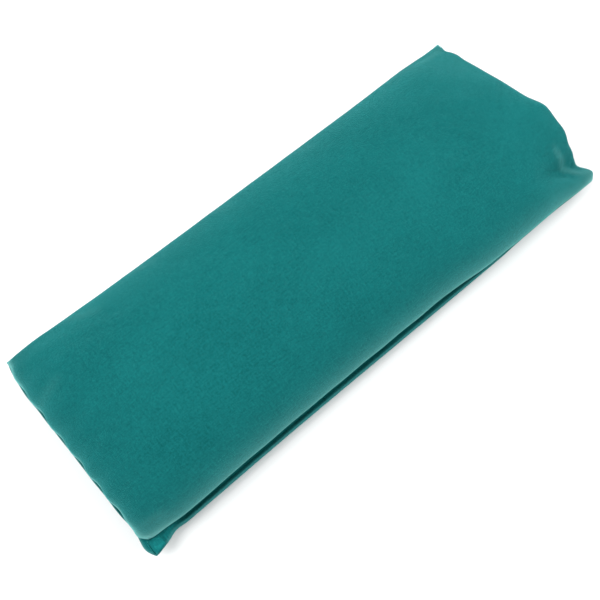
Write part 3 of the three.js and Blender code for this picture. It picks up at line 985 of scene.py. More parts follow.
@dataclass
class CoverPanels:
    """The cover's two cut panels, sewn round three sides and held apart by the zip on the fourth."""

    form: PillowForm
    finishes: Finishes
    slack: float = 0.02
    pressure: float = 4.0
    frames: int = 20
    cap: float = 1.2
    lip_droop: float = 2.2
    valley: float = 8.6
    valley_back: float = 7.0
    valley_width: float = 2.4
    strip_rim: float = 4.0
    strip_rise: float = 1.6
    lower_lip_drop: float = 4.1
    lower_lip_roll: float = 1.6
    plain_turning: float = 1.8
    end_turning: float = 4.5
    ear_turning: float = 15.0
    upper_facing: float = 113.5
    lower_facing: float = 112.5
    tab_room_end: float = 184.0
    tab_room_back: float = -115.0
    bulge_height: float = 6.75
    cloth_wall: float = 0.9
    weld: float = 0.02
    # Painted highlight and wear, kept off the turned-under cloth: a pale line at every hem with a faint wide
    # band, a pale line and a broad painted sheen band along the zip side, a pale near-end hem and pale crease
    # ridges.
    highlight_and_wear_depth: float = 0.35
    hem_highlight_and_wear: tuple[Dent, ...] = (Dent(0.3, 2.6, 0.9), Dent(0.0, 14.0, 0.12))
    lip_sheen_band_and_wear: tuple[Dent, ...] = (Dent(0.0, 6.0, 0.5), Dent(0.0, 23.0, 0.27))
    end_highlight_and_wear: tuple[Dent, ...] = (Dent(0.0, 6.5, 0.5),)
    ridge_highlight_and_wear: float = 0.08
    undulation: float = 0.55
    crinkle: float = 0.30
    pucker_height: float = 0.9
    ear_face_across: tuple[float, float] = (-100.0, -114.0)
    ear_face_along: tuple[float, float] = (-296.0, -312.0)
    seam_gap: float = 0.3
    firm_edge: float = 2.0
    shoulders: tuple[Dent, ...] = (Dent(-41.0, 20.0, 6.4), Dent(-77.0, 17.0, 6.0))
    upper_cut: FlatCut = FlatCut(352.0, 150.0)
    lower_cut: FlatCut = FlatCut(339.0, 134.0)
    creases: tuple[Crease, ...] = (
        Crease((326.0, -121.0), (296.0, -106.0), (289.0, -80.0), 3.2, 3.8),
        Crease((300.0, -112.0), (272.0, -104.0), (262.0, -80.0), -1.6, 7.0),
        Crease((322.0, 121.0), (300.0, 110.0), (262.0, 113.0), 1.8, 4.0),
        Crease((278.0, 110.0), (250.0, 116.0), (214.0, 112.0), 1.4, 3.4),
        Crease((-258.0, 120.0), (-238.0, 106.0), (-214.0, 92.0), 1.1, 5.0),
        Crease((-176.0, 119.0), (-158.0, 111.0), (-136.0, 104.0), 1.0, 4.5),
        Crease((-60.0, 119.0), (-48.0, 108.0), (-30.0, 100.0), 0.6, 6.0),
        Crease((60.0, 119.0), (74.0, 109.0), (90.0, 96.0), 0.7, 6.0),
        Crease((-326.0, -88.0), (-312.0, -92.0), (-300.0, -84.0), -1.1, 4.0),
        Crease((-322.0, -104.0), (-308.0, -108.0), (-292.0, -112.0), 0.9, 3.0),
        Crease((-329.0, 60.0), (-312.0, 58.0), (-290.0, 64.0), 0.7, 6.0),
        Crease((-330.0, -20.0), (-312.0, -24.0), (-296.0, -18.0), -0.7, 6.0),
    )

    def __post_init__(self) -> None:
        """Works out how the cloth's even steps fall over the form."""
        form = self.form
        rise = form.crown - form.seam
        side = form.half_width - form.side_pull
        end = form.half_length + form.near_bulge
        self.shares = np.linspace(-1.0, 1.0, 401)
        self.along = Roundness(form.end_power, end, rise).place(self.shares)
        self.across = Roundness(form.side_power, side, rise).place(self.shares)

    def spread(self, along: float, over: float) -> tuple[float, float]:
        """Places a point of the flat cloth on the form.

        Args:
            along: Place along the cut, from -1 to 1.
            over: Place across the cut, from -1 to 1.

        Returns:
            Its shares of the form's half length and half width.
        """
        form = self.form
        u_even = float(np.interp(along, self.shares, self.along))
        v_even = float(np.interp(over, self.shares, self.across))
        side = fullness(v_even, form.side_power)
        end = fullness(u_even, form.end_power)
        return mix(along, u_even, math.sqrt(side)), mix(over, v_even, math.sqrt(end))

    @staticmethod
    def near_edge(u: float, v: float) -> float:
        """How near two shares are to the form's edge, from 0 to 1."""
        return ease(0.5, 0.95, max(abs(u) ** 3, abs(v) ** 3))

    def outline(self, u: float, v: float, upper: bool) -> tuple[float, float]:
        """Turns shares of the form into a place in plan.

        Args:
            u: Share of the half length.
            v: Share of the half width.
            upper: Whether the place is on the upper panel.

        Returns:
            The place, in millimetres.
        """
        form = self.form
        y = v * form.half_width
        near = -form.near_edge(y) - (form.lip_back(y) if upper else 0.0)
        x = u * (near if u < 0.0 else form.far_edge(y))
        zip_side = -form.lip_edge(x) if upper else -form.strip_edge(x)
        y = v * (zip_side if v < 0.0 else form.plain_edge(x))
        return x, y

    def lighten_by_highlight_and_wear(self, edge: float, depth: float, side: float, end: float, ridge: float) -> float:
        """How far the cloth is lightened with painted highlight and wear.

        Args:
            edge: Distance from the nearest edge.
            depth: How deep in the turning it lies, from 0 to 1.
            side: Distance from the long edge beside the zip.
            end: Distance from the near end.
            ridge: Height of the ridge that it lies on.

        Returns:
            The share of painted highlight and wear, from 0 to 1.
        """
        if depth > self.highlight_and_wear_depth:
            return 0.0
        highlight_and_wear_share = bulge(self.hem_highlight_and_wear, edge) + bulge(self.lip_sheen_band_and_wear, side) + bulge(self.end_highlight_and_wear, end)
        return min(1.0, highlight_and_wear_share + self.ridge_highlight_and_wear * max(0.0, ridge))

    def upper_point(self, along: float, over: float, end_depth: float,
                    side_depth: float) -> tuple[Vector, float]:
        """Places one point of the upper panel.

        Args:
            along: Place along the cut, from -1 to 1.
            over: Place across the cut, from -1 to 1.
            end_depth: Signed depth into the turning at an end.
            side_depth: Signed depth into the turning at a side.

        Returns:
            The point in millimetres and its share of painted highlight and wear.
        """
        form = self.form
        u, v = self.spread(along, over)
        x, y = self.outline(u, v, True)
        gape = form.gape(x, y) * self.near_edge(u, v)
        near = ease(-0.9, -1.0, u)
        seam = form.seam_level(x, y)
        level = seam + mix(self.seam_gap, form.lip_rise, gape) + 0.7 * near * (1.0 - gape)
        roll = mix(form.seam_roll, form.lip_roll, gape)
        rim = level + roll - self.lip_droop * gape
        share = form.dome(u, v, y)
        z = rim + (form.crown - rim) * share
        puff = self.bulge_height * share * (1.0 - share) ** 2
        y += math.copysign(form.side_swell * puff, v) * abs(v) ** 6 * (1.0 - abs(u) ** 16)
        x += math.copysign(2.0 * puff, u) * abs(u) ** 30 * (1.0 - v**8)
        x += bulge(self.shoulders, y) * ease(0.86, 0.98, u) * ease(0.25, 0.6, share)
        edge = self.upper_cut.edge(along, over)
        near_end = (1.0 + along) * self.upper_cut.half_length
        x -= form.near_flange * ease(2.4, 0.0, near_end) * ease(1.0, 0.9, abs(v))
        inner = ease(0.0, 14.0, edge)
        ridge = sum(crease.lift(x, y) for crease in self.creases)
        broad = self.undulation * ripple(x, y, 70.0, 0.3)
        fine = self.crinkle * ripple(x, y, 24.0, 2.3)
        z += inner * (ridge + broad + fine)
        pucker = math.exp(-edge / 16.0) * ease(0.0, 4.0, edge)
        stretch = 1.0 if abs(over) > abs(along) else 0.2
        z += self.pucker_height * pucker * ripple(x * stretch, y * 0.3, 11.0, 9.1)
        if end_depth or side_depth:
            x, y, z = self.turn_under(x, y, z, level, roll, gape, end_depth, side_depth, True)
        x, y = form.rounded(x, y, True)
        # Painted highlight and wear on the upper panel: pale hems, a pale line and broad painted sheen band
        # along the zip side, a pale near end and pale crease ridges.
        lip_side = (1.0 + over) * self.upper_cut.half_width
        depth = max(abs(end_depth), abs(side_depth))
        return Vector((x, y, z)), self.lighten_by_highlight_and_wear(edge, depth, lip_side, near_end, inner * ridge)

    def turn_under(self, x: float, y: float, z: float, level: float, roll: float, gape: float,
                   end_depth: float, side_depth: float, upper: bool) -> tuple[float, float, float]:
        """Moves an edge point into the panel's turned edge.

        Args:
            x: Place of the edge, along.
            y: Place of the edge, across.
            z: Height of the edge.
            level: Height of the turning.
            roll: Radius of the fold.
            gape: How open the mouth is here.
            end_depth: Signed depth at an end.
            side_depth: Signed depth at a side.
            upper: Whether this is the upper panel.

        Returns:
            The point in millimetres.
        """
        depth = max(abs(end_depth), abs(side_depth))
        mouth = ease(self.form.mouth_start - 4.0, self.form.mouth_start + 6.0, x)
        mouth *= ease(self.form.mouth_end + 6.0, self.form.mouth_end - 2.0, x)
        ear_face = 0.0 if upper else ease(*self.ear_face_across, y) * ease(*self.ear_face_along, x)
        open_side = max(gape, ear_face)
        reach_side = reach_end = self.plain_turning
        if side_depth < 0.0:
            facing = self.upper_facing if upper else self.lower_facing
            reach_side = mix(self.plain_turning, abs(y) - facing, open_side)
        if end_depth < 0.0:
            reach_end = mix(self.plain_turning, mix(self.end_turning, self.ear_turning, ear_face), open_side)
        apart = abs(level - self.form.seam_level(x, y)) - self.seam_gap
        last = max(0.0, apart) if gape > 0.0 else 0.0
        meet = last * (1.0 - mouth) * ease(0.45, 0.85, depth)
        rim = roll if upper else mix(roll, self.strip_rim, gape)

        def inward(amount: float, reach: float) -> float:
            """Works out how far a turned point lies inside the edge.

            Args:
                amount: Its signed depth in the turning.
                reach: How far the turning's raw edge lies inside.

            Returns:
                The distance in millimetres.
            """
            amount = abs(amount)
            bend = min(rim, reach * 0.5)
            return bend * (2.0 * amount) ** 2 if amount <= 0.5 else mix(bend, reach, (amount - 0.5) * 2.0)

        x += math.copysign(inward(end_depth, reach_end), -end_depth) if end_depth else 0.0
        y += math.copysign(inward(side_depth, reach_side), -side_depth) if side_depth else 0.0
        outer = self.form.lip_edge(x) if upper else self.form.strip_edge(x)
        y = max(y, outer + self.seam_gap) if end_depth else y
        tab_room = ease(self.tab_room_end, self.tab_room_end - 4.0, x)
        meet *= 1.0 - tab_room * ease(self.tab_room_back - 1.5, self.tab_room_back, y)
        fall = math.sin(math.pi * min(0.5, depth))
        z = mix(z, level, fall)
        if upper:
            z -= 0.6 * self.lip_droop * gape * math.sin(math.pi * min(1.0, 2.0 * depth))
        else:
            inside = y + abs(self.form.strip_edge(x))
            z -= self.valley * mouth * gape * swell(inside, self.valley_back, self.valley_width)
            z += self.strip_rise * mouth * gape * fall * ease(6.0, 3.6, inside)
        return x, y, z + (-meet if upper else meet)

    def lower_point(self, along: float, over: float, end_depth: float,
                    side_depth: float) -> tuple[Vector, float]:
        """Places one point of the lower panel.

        Args:
            along: Place along the cut, from -1 to 1.
            over: Place across the cut, from -1 to 1.
            end_depth: Signed depth into the turning at an end.
            side_depth: Signed depth into the turning at a side.

        Returns:
            The point in millimetres and its share of painted highlight and wear.
        """
        form = self.form
        u, v = self.spread(along, over)
        x, y = self.outline(u, v, False)
        gape = form.gape(x, y) * self.near_edge(u, v)
        near = ease(-0.9, -1.0, u)
        drop = self.seam_gap + self.lower_lip_drop * gape + 0.5 * near * (1.0 - gape)
        level = form.seam_level(x, y) - drop
        roll = mix(form.seam_roll, self.lower_lip_roll, gape)
        z = (level - roll) * (1.0 - form.base(u, v))
        edge = self.lower_cut.edge(along, over)
        pucker = math.exp(-edge / 14.0) * ease(0.0, 4.0, edge)
        y += 0.7 * pucker * ripple(x, 5.0, 12.0, 6.1)
        if end_depth or side_depth:
            x, y, z = self.turn_under(x, y, z, level, roll, gape, end_depth, side_depth, False)
        x, y = form.rounded(x, y, False)
        depth = max(abs(end_depth), abs(side_depth))
        # Painted highlight and wear on the lower panel's hems, fainter where the mouth gapes.
        highlight_and_wear_share = self.lighten_by_highlight_and_wear(edge, depth, math.inf, math.inf, 0.0) * mix(0.3, 0.15, gape)
        return Vector((x, y, max(0.0, z))), highlight_and_wear_share

    def settle(self, piece: bpy.types.Object, cut: FlatCut) -> None:
        """Lets the cloth find its own puckers between its sewn edges, then keeps the result.

        Args:
            piece: The panel, still a single layer.
            cut: Its flat cut.
        """
        mesh = piece.data
        self.pin(piece, cut)
        welded = bmesh.new()
        welded.from_mesh(mesh)
        bmesh.ops.remove_doubles(welded, verts=welded.verts, dist=self.weld * MM)
        welded.to_mesh(mesh)
        welded.free()
        start = points_of(mesh)
        cloth = piece.modifiers.new("settle", "CLOTH")
        for name, value in self.behaviour.items():
            setattr(cloth.settings, name, value)
        cloth.settings.effector_weights.gravity = 0.0
        scene = bpy.context.scene
        for frame_number in range(1, self.frames + 1):
            scene.frame_set(frame_number)
        moved = points_of(piece.evaluated_get(bpy.context.evaluated_depsgraph_get()).data) - start
        size = np.linalg.norm(moved, axis=1, keepdims=True)
        limit = self.cap * MM
        moved *= limit * np.tanh(size / limit) / np.maximum(size, 1e-9)
        LOG.info("%s settled by %.1f mm at most", piece.name, float(size.max()) / MM)
        piece.modifiers.remove(cloth)
        piece.vertex_groups.clear()
        scene.frame_set(1)
        settled = start + moved
        settled[:, 2] = np.maximum(settled[:, 2], 0.0)
        mesh.vertices.foreach_set("co", settled.ravel())
        mesh.update()

    @property
    def behaviour(self) -> dict[str, object]:
        """The cloth's settings while it settles."""
        return {"quality": 5, "mass": 0.25, "tension_stiffness": 12.0, "compression_stiffness": 12.0,
                "shear_stiffness": 5.0, "bending_stiffness": 0.25, "use_pressure": True,
                "uniform_pressure_force": self.pressure, "vertex_group_mass": "sewn", "pin_stiffness": 1.0,
                "vertex_group_shrink": "easy", "shrink_min": 0.0, "shrink_max": -self.slack}

    def pin(self, piece: bpy.types.Object, cut: FlatCut) -> None:
        """Marks how firmly each point is held, and where the cloth has ease to pucker.

        Args:
            piece: The panel, as it was woven.
            cut: Its flat cut.
        """
        lines = cut.lines[0] + 1
        sewn = piece.vertex_groups.new(name="sewn")
        easy = piece.vertex_groups.new(name="easy")
        for index in range(len(piece.data.vertices)):
            along, end_depth = cut.step(index % lines, cut.columns, cut.half_length)
            over, side_depth = cut.step(index // lines, cut.rows, cut.half_width)
            edge = cut.edge(along, over)
            turned = end_depth or side_depth or edge < self.firm_edge
            held = 1.0 if turned else 0.10 * ease(60.0, 10.0, edge) + 0.05
            sewn.add([index], held, "REPLACE")
            easy.add([index], ease(90.0, 10.0, edge), "REPLACE")

    def panel(self, name: str, cut: FlatCut, point: Callable, upper: bool) -> bpy.types.Object:
        """Makes one panel, settles it and gives it its thickness.

        Args:
            name: Name of the piece.
            cut: Its flat cut.
            point: Places its points.
            upper: Whether it is the upper panel, whose grid already faces out.

        Returns:
            The panel.
        """
        bm = cut.weave(point)
        if not upper:
            bmesh.ops.reverse_faces(bm, faces=bm.faces)
        piece = finish_piece(name, bm, self.finishes.cover)
        self.settle(piece, cut)
        thicken(piece, self.cloth_wall, -1.0)
        smooth = piece.modifiers.new("soft", "SUBSURF")
        smooth.levels = 1
        smooth.render_levels = 1
        return piece

    def build(self) -> None:
        """Builds both panels."""
        upper = self.panel("upper_cover_panel", self.upper_cut, self.upper_point, True)
        lower = self.panel("lower_cover_panel", self.lower_cut, self.lower_point, False)
        for piece, node, cut in ((upper, "cover_top_panel", self.upper_cut),
                                 (lower, "cover_bottom_panel", self.lower_cut)):
            dress(piece, node)
            cut.size


# ------------------------------------------------------------------------------------ inner cushion


@dataclass
class InnerCushion:
    """The filled inner case: two cloth halves sewn together round loose fibre."""

    form: PillowForm
    finishes: Finishes
    case_inset: float = 4.9
    fill_inset: float = 6.6
    zip_pocket: float = 15.0
    case_cloth: float = 0.8
    rise: float = 55.0
    seam_gap: float = 0.45
    fill: float = 0.7
    upper_cut: tuple[float, float] = (0.27, 0.68)
    lower_cut: tuple[float, float] = (0.24, 0.655)
    columns: int = 84
    rows: int = 40

    def place(self, u: float, v: float, inset: float, upper: bool) -> Vector:
        """Places a point of a skin that lies a steady way inside the cover.

        Args:
            u: Share of the half length.
            v: Share of the half width.
            inset: How far inside the cover it lies.
            upper: Whether it is over the seam.

        Returns:
            The point in millimetres.
        """
        form = self.form
        x = u * (form.half_length + (2.0 if u < 0.0 else 0.0) - inset)
        half = form.plain_edge(x) if v > 0.0 else form.half_width - form.side_pull - self.zip_pocket
        y = v * (half - inset)
        if not upper:
            return Vector((x, y, mix(form.seam_level(x, y) - 0.2, inset, form.base(u, v))))
        share = form.dome(u, v, y / (half - inset) * form.half_width)
        lumps = 0.5 * ripple(x, y, 40.0, 7.7) * ease(0.0, 0.4, share)
        return Vector((x, y, mix(form.seam_level(x, y) + 0.2, form.crown - inset - 0.6, share) + lumps))

    def skin(self, inset: float, halves: Sequence[bool]) -> bmesh.types.BMesh:
        """Makes one half of a skin, or both joined at the seam.

        Args:
            inset: How far inside the cover it lies.
            halves: True for the upper half, False for the lower one.

        Returns:
            Its mesh, facing outwards.
        """
        bm = bmesh.new()
        length = Roundness(self.form.end_power, self.form.half_length, self.rise)
        width = Roundness(self.form.side_power, self.form.half_width, self.rise)
        us = length.place(np.linspace(-1.0, 1.0, self.columns + 1))
        vs = width.place(np.linspace(-1.0, 1.0, self.rows + 1))
        for upper in halves:
            made = bmesh.ops.create_grid(bm, x_segments=self.columns, y_segments=self.rows, size=1.0)
            for vert in made["verts"]:
                a, b = vert.co.x, vert.co.y
                u = float(us[round((a + 1.0) / 2.0 * self.columns)])
                v = float(vs[round((b + 1.0) / 2.0 * self.rows)])
                end = fullness(u, self.form.end_power)
                side = fullness(v, self.form.side_power)
                vert.co = self.place(mix(a, u, math.sqrt(side)), mix(b, v, math.sqrt(end)), inset, upper)
            if not upper:
                faces = {face for vert in made["verts"] for face in vert.link_faces}
                bmesh.ops.reverse_faces(bm, faces=list(faces))
        if len(halves) == 2:
            bmesh.ops.remove_doubles(bm, verts=bm.verts, dist=self.seam_gap)
            tidy_normals(bm)
        return bm

    def build(self) -> None:
        """Builds the case's halves, its seam and the filling."""
        for name, node, upper, cut in (("inner_case_upper", "inner_case_top", True, self.upper_cut),
                                       ("inner_case_lower", "inner_case_bottom", False, self.lower_cut)):
            half = finish_piece(name, self.skin(self.case_inset, (upper,)), self.finishes.case)
            thicken(half, self.case_cloth, -1.0)
            dress(half, node)
        fibre = self.skin(self.fill_inset, (True, False))
        filling = finish_piece("fibre_filling", fibre, self.finishes.filling)
        dress(filling, "filling")
        line = [(x, self.form.plain_edge(x) - self.case_inset + self.seam_gap, self.form.seam)
                for x in np.arange(-308.0, 308.1, 4.0)]
        stitches = StitchRow(length=2.6, pitch=3.4, radius=0.34)
        seam = stitches.sew("inner_case_seam", [line], self.finishes.case)
        dress(seam, "inner_case_seam_thread")


# ------------------------------------------------------------------------------------- stitching


@dataclass(frozen=True)
class StitchRow:
    """Separate lockstitches laid end to end."""

    length: float = 2.6
    pitch: float = 3.2
    radius: float = 0.32
    flatness: float = 0.8

    def single(self) -> bpy.types.Mesh:
        """Shapes one stitch.

        Returns:
            Its mesh, lying along X round the origin.
        """
        bm = bmesh.new()
        size = Matrix.Diagonal((self.length / 2.0, self.radius, self.radius * self.flatness, 1.0))
        bmesh.ops.create_uvsphere(bm, u_segments=6, v_segments=5, radius=1.0,
                                  matrix=size @ Matrix.Rotation(math.pi / 2, 4, "Y"))
        mesh = bpy.data.meshes.new("stitch")
        bm.to_mesh(mesh)
        bm.free()
        return mesh

    def sew(self, name: str, lines: Iterable[Sequence[Sequence[float]]],
            material: bpy.types.Material) -> bpy.types.Object:
        """Sews along some lines.

        Args:
            name: Name of the piece.
            lines: Points of each line, in millimetres.
            material: The thread's finish.

        Returns:
            The row of stitches as one piece.
        """
        bm = bmesh.new()
        stitch = self.single()
        for line in lines:
            points = np.array(line, float)
            run = np.concatenate([[0.0], np.cumsum(np.linalg.norm(np.diff(points, axis=0), axis=1))])
            for place in np.arange(self.pitch, run[-1] - self.pitch / 2.0, self.pitch):
                before, here, after = (
                    Vector([float(np.interp(place + step, run, points[:, k])) for k in range(3)])
                    for step in (-1.0, 0.0, 1.0)
                )
                turn = (after - before).to_track_quat("X", "Z").to_matrix().to_4x4()
                laid = Matrix.Translation(here) @ turn
                stitch.transform(laid)
                bm.from_mesh(stitch)
                stitch.transform(laid.inverted())
        bpy.data.meshes.remove(stitch)
        return finish_piece(name, bm, material)


@dataclass
class CoverSeam:
    """The lockstitch that joins the two panels, deep in the groove between their turned edges."""

    form: PillowForm
    finishes: Finishes
    inset: float = 1.8

    def build(self) -> None:
        """Sews the near end, the plain side, the far end and the short stretch past the zip."""
        form = self.form
        back = self.inset
        near = [(form.near_edge(y) + form.lip_back(y) + back, y) for y in np.arange(-76.0, 124.1, 4.0)]
        plain = [(x, form.plain_edge(x) - back) for x in np.arange(-320.0, 320.1, 4.0)]
        far = [(form.far_edge(y) - back, y) for y in np.arange(124.0, -124.1, -4.0)]
        past = [(x, form.strip_edge(x) + back) for x in np.arange(318.0, 206.0, -4.0)]
        lines = [[(x, y, form.seam_level(x, y)) for x, y in line] for line in (near, plain, far, past)]
        seam = StitchRow().sew("cover_seam", lines, self.finishes.thread)
        dress(seam, "cover_seam_thread")


# -------------------------------------------------------------------------------------------- zip


class ZipSide(Enum):
    """The two facing halves of the zip; the value is its direction from the middle of the mouth."""

    UPPER = 1.0
    LOWER = -1.0

    @property
    def word(self) -> str:
        """Its name in a piece's name."""
        return self.name.lower()


@dataclass
class ZipOpening:
    """The coil zip at the back of the long side's mouth, with its facings, tapes and stops."""

    finishes: Finishes
    middle: float = 25.5
    start: float = -293.0
    end: float = 165.0
    face_start: float = -118.0
    face_depth: float = -109.8
    face_cloth: float = 0.6
    flange: float = 9.6
    leg_level: float = 4.9
    leg_level_lower: float = 3.9
    coil_pitch: float = 1.5
    coil_steps: int = 8
    turns_per_length: int = 10
    wire: float = 0.27
    tape_wave: float = 0.12
    tape_inner: float = 0.55
    tape_outer: float = 14.55
    tape_depth: float = -108.7
    tape_cloth: float = 0.5
    stop_room: float = 3.6
    coil_depth: float = -110.05
    coil_height: float = 1.525
    coil_half_height: float = 0.975
    coil_half_depth: float = 0.75
    stitch_height: float = 9.0
    stitch_pitch: float = 3.0

    def strip(self, name: str, columns: int, rows: int, place: Callable[[float, float], Vector],
              material: bpy.types.Material, thickness: float) -> bpy.types.Object:
        """Makes a long strip of cloth from a flat grid.

        Args:
            name: Name of the piece.
            columns: Steps along it.
            rows: Steps across it.
            place: Gives a point from its shares along and across, each from 0 to 1.
            material: Its finish.
            thickness: Of the cloth.

        Returns:
            The strip, with its thickness as a modifier.
        """
        bm = bmesh.new()
        bmesh.ops.create_grid(bm, x_segments=columns, y_segments=rows, size=0.5)
        for vert in bm.verts:
            vert.co = place(vert.co.x + 0.5, vert.co.y + 0.5)
        piece = finish_piece(name, bm, material)
        thicken(piece, thickness)
        return piece

    def facing(self, side: ZipSide) -> None:
        """Builds the folded facing that joins a panel's edge to its tape.

        Args:
            side: The half of the zip.
        """
        level = self.middle + side.value * (self.leg_level if side is ZipSide.UPPER else self.leg_level_lower)
        leg = self.face_depth - self.face_start

        def place(along: float, across: float) -> Vector:
            """Places a point of the facing, from its shares along and across."""
            x = mix(self.start, self.end, along)
            run = across * (leg + self.flange)
            bend = ease(leg - 1.2, leg + 1.2, run)
            y = self.face_start + min(run, leg)
            up = max(0.0, run - leg)
            y -= 0.25 * bend * (1.0 - ease(0.0, 2.0, up))
            return Vector((x, y + 0.10 * ripple(x, run, 14.0, side.value), level + side.value * up))

        facing = self.strip(f"zip_facing_{side.word}", 150, 14, place, self.finishes.cover, self.face_cloth)
        dress(facing, f"zip_placket_{side.word}")

    def tape(self, side: ZipSide) -> None:
        """Builds a woven tape.

        Args:
            side: The half of the zip.
        """

        def place(along: float, across: float) -> Vector:
            """Places a point of the tape, from its shares along and across."""
            x = mix(self.start, self.end, along)
            height = mix(self.tape_inner, self.tape_outer, across)
            y = self.tape_depth + self.tape_wave * ripple(x, height, 20.0, 3.0 + side.value)
            return Vector((x, y, self.middle + side.value * height))

        tape = self.strip(f"zip_tape_{side.word}_woven", 150, 8, place, self.finishes.tape,
                          self.tape_cloth)
        dress(tape, f"zip_tape_{side.word}")

    def coil(self, side: ZipSide) -> None:
        """Winds one row of the coil: a flattened spiral of nylon.

        Args:
            side: The half of the zip.
        """
        first = self.start + self.stop_room + self.wire
        last = self.end - self.stop_room - self.wire
        lengths = round((last - first) / self.coil_pitch / self.turns_per_length)
        pitch = (last - first) / (lengths * self.turns_per_length)
        steps = self.turns_per_length * self.coil_steps
        centre = Vector((first, self.coil_depth, self.middle + side.value * self.coil_height))
        tall = self.coil_half_height - self.wire
        deep = self.coil_half_depth - self.wire
        bm = bmesh.new()
        ring = bmesh.ops.create_circle(bm, segments=5, radius=self.wire,
                                       matrix=Matrix.Translation(centre + Vector((0.0, 0.0, tall)))
                                       @ Matrix.Rotation(math.pi / 2, 4, "X"))
        edges = list({edge for vert in ring["verts"] for edge in vert.link_edges})
        bmesh.ops.spin(bm, geom=ring["verts"] + edges, cent=centre, axis=(1.0, 0.0, 0.0),
                       dvec=(pitch / self.coil_steps, 0.0, 0.0), angle=math.tau * self.turns_per_length,
                       steps=steps, use_duplicate=False)
        bmesh.ops.spin(bm, geom=bm.verts[:] + bm.edges[:] + bm.faces[:], cent=centre, axis=(1.0, 0.0, 0.0),
                       dvec=(pitch * self.turns_per_length, 0.0, 0.0), angle=0.0, steps=lengths - 1,
                       use_duplicate=True)
        bmesh.ops.remove_doubles(bm, verts=bm.verts, dist=0.02)
        bmesh.ops.translate(bm, verts=bm.verts, vec=-centre)
        bmesh.ops.scale(bm, verts=bm.verts, vec=(1.0, deep / tall, 1.0))
        bmesh.ops.translate(bm, verts=bm.verts, vec=centre)
        bmesh.ops.holes_fill(bm, edges=bm.edges, sides=6)
        tidy_normals(bm)
        coil = finish_piece(f"zip_coil_{side.word}_spiral", bm, self.finishes.coil)
        dress(coil, f"zip_coil_{side.word}")

    def stitching(self, side: ZipSide) -> None:
        """Sews a facing to its tape.

        Args:
            side: The half of the zip.
        """
        level = self.middle + side.value * self.stitch_height
        line = [(x, self.face_depth - self.face_cloth / 2.0 - 0.2, level)
                for x in np.arange(self.start + self.stop_room, self.end - self.stop_room + 0.2,
                                   self.stitch_pitch)]
        stitches = StitchRow(pitch=self.stitch_pitch, radius=0.3)
        row = stitches.sew(f"zip_topstitch_{side.word}", [line], self.finishes.thread)
        dress(row, f"zip_stitching_{side.word}")

    def build(self) -> None:
        """Builds both sides of the zip."""
        for side in ZipSide:
            self.facing(side)
            self.tape(side)
            self.coil(side)
            self.stitching(side)


@dataclass
class CareLabel:
    """A blank satin label sewn in behind the tape."""

    finishes: Finishes
    start: float = -60.0
    length: float = 45.0
    low: float = 29.9
    height: float = 16.8
    depth: float = -107.9
    curl: float = 0.05
    cloth: float = 0.3

    def build(self) -> None:
        """Builds the label, a little curled along its free edge."""
        bm = bmesh.new()
        bmesh.ops.create_grid(bm, x_segments=30, y_segments=12, size=0.5)
        for vert in bm.verts:
            along = vert.co.x + 0.5
            up = vert.co.y + 0.5
            curl = self.curl * math.sin(math.tau * along) * up
            vert.co = (self.start + along * self.length, self.depth + curl, self.low + up * self.height)
        label = finish_piece("care_label_blank", bm, self.finishes.label)
        thicken(label, self.cloth)
        dress(label, "care_label")


# ---------------------------------------------------------------------------------------- studio


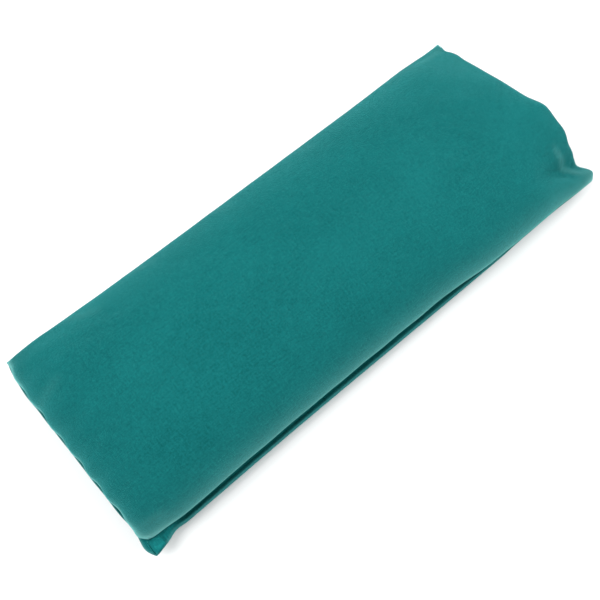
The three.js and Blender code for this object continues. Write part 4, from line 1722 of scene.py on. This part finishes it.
@dataclass
class Studio:
    """The camera, the soft lights and the pale floor."""

    finishes: Finishes
    ear_height: float = 0.021
    focal_length: float = 51.4
    sensor: float = 36.0
    camera_place: tuple[float, float, float] = (-0.2970, -0.3022, 0.8693)
    camera_right: tuple[float, float, float] = (0.7498, -0.6616, 0.0063)
    camera_up: tuple[float, float, float] = (0.6039, 0.6883, 0.4019)
    lamp_size: float = 1.8
    key_place: tuple[float, float, float] = (-1.0, 0.6, 1.6)
    key_power: float = 36.0
    fill_place: tuple[float, float, float] = (1.2, -0.7, 1.5)
    fill_power: float = 32.0
    sky_strength: float = 0.50
    floor_radius: float = 6000.0
    floor_drop: float = 0.3

    def camera(self) -> None:
        """Places the camera above the near corner of the pillow."""
        data = bpy.data.cameras.new("camera")
        data.lens = self.focal_length
        data.sensor_width = self.sensor
        right = Vector(self.camera_right).normalized()
        back = right.cross(Vector(self.camera_up)).normalized()
        up = back.cross(right)
        place = Vector(self.camera_place) + Vector((0.0, 0.0, self.ear_height))
        axes = Matrix((right, up, back)).transposed().to_4x4()
        camera = bpy.data.objects.new("camera", data)
        camera.matrix_world = Matrix.Translation(place) @ axes
        bpy.context.scene.collection.objects.link(camera)
        bpy.context.scene.camera = camera

    def lamp(self, name: str, place: Sequence[float], power: float) -> None:
        """Adds a large soft lamp that faces the pillow.

        Args:
            name: Name of the lamp.
            place: Where it hangs, in metres.
            power: Its power in watts.
        """
        data = bpy.data.lights.new(name, "AREA")
        data.shape = "DISK"
        data.size = self.lamp_size
        data.energy = power
        lamp = bpy.data.objects.new(name, data)
        lamp.location = place
        lamp.rotation_euler = Vector(place).to_track_quat("Z", "Y").to_euler()
        bpy.context.scene.collection.objects.link(lamp)

    def build(self) -> None:
        """Builds the camera, the lights, the sky and the floor."""
        self.camera()
        self.lamp("key_lamp", self.key_place, self.key_power)
        self.lamp("fill_lamp", self.fill_place, self.fill_power)
        world = bpy.data.worlds.new("studio")
        world.use_nodes = True
        sky = world.node_tree.nodes["Background"]
        sky.inputs["Color"].default_value = (1.0, 1.0, 1.0, 1.0)
        sky.inputs["Strength"].default_value = self.sky_strength
        bpy.context.scene.world = world
        bpy.context.scene.view_settings.view_transform = "Standard"
        bm = bmesh.new()
        bmesh.ops.create_circle(bm, cap_ends=True, segments=64, radius=self.floor_radius)
        bmesh.ops.translate(bm, verts=bm.verts, vec=(0.0, 0.0, -self.floor_drop))
        floor = finish_piece("studio_floor", bm, self.finishes.floor, smooth=False)


def main(frame: dict) -> None:
    """Builds the pillow in the studio.
    """
    form = PillowForm()
    finishes = Finishes()
    Studio(finishes).build()
    CoverPanels(form, finishes).build()
    CoverSeam(form, finishes).build()
    InnerCushion(form, finishes).build()
    ZipOpening(finishes).build()
    CareLabel(finishes).build()
    for name in ("zip_slider_body", "zip_pull_tab", "zip_bottom_stop", "zip_top_stop_upper",
                 "zip_top_stop_lower"):
        node = frame["nodes"][name]
        node.data.materials.clear()
        node.data.materials.append(finishes.metal)


if __name__ == "__main__":
    logging.basicConfig(level=logging.INFO, format="%(message)s")
    for leftover in list(bpy.data.objects):
        bpy.data.objects.remove(leftover)
    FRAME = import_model()
    main(FRAME)
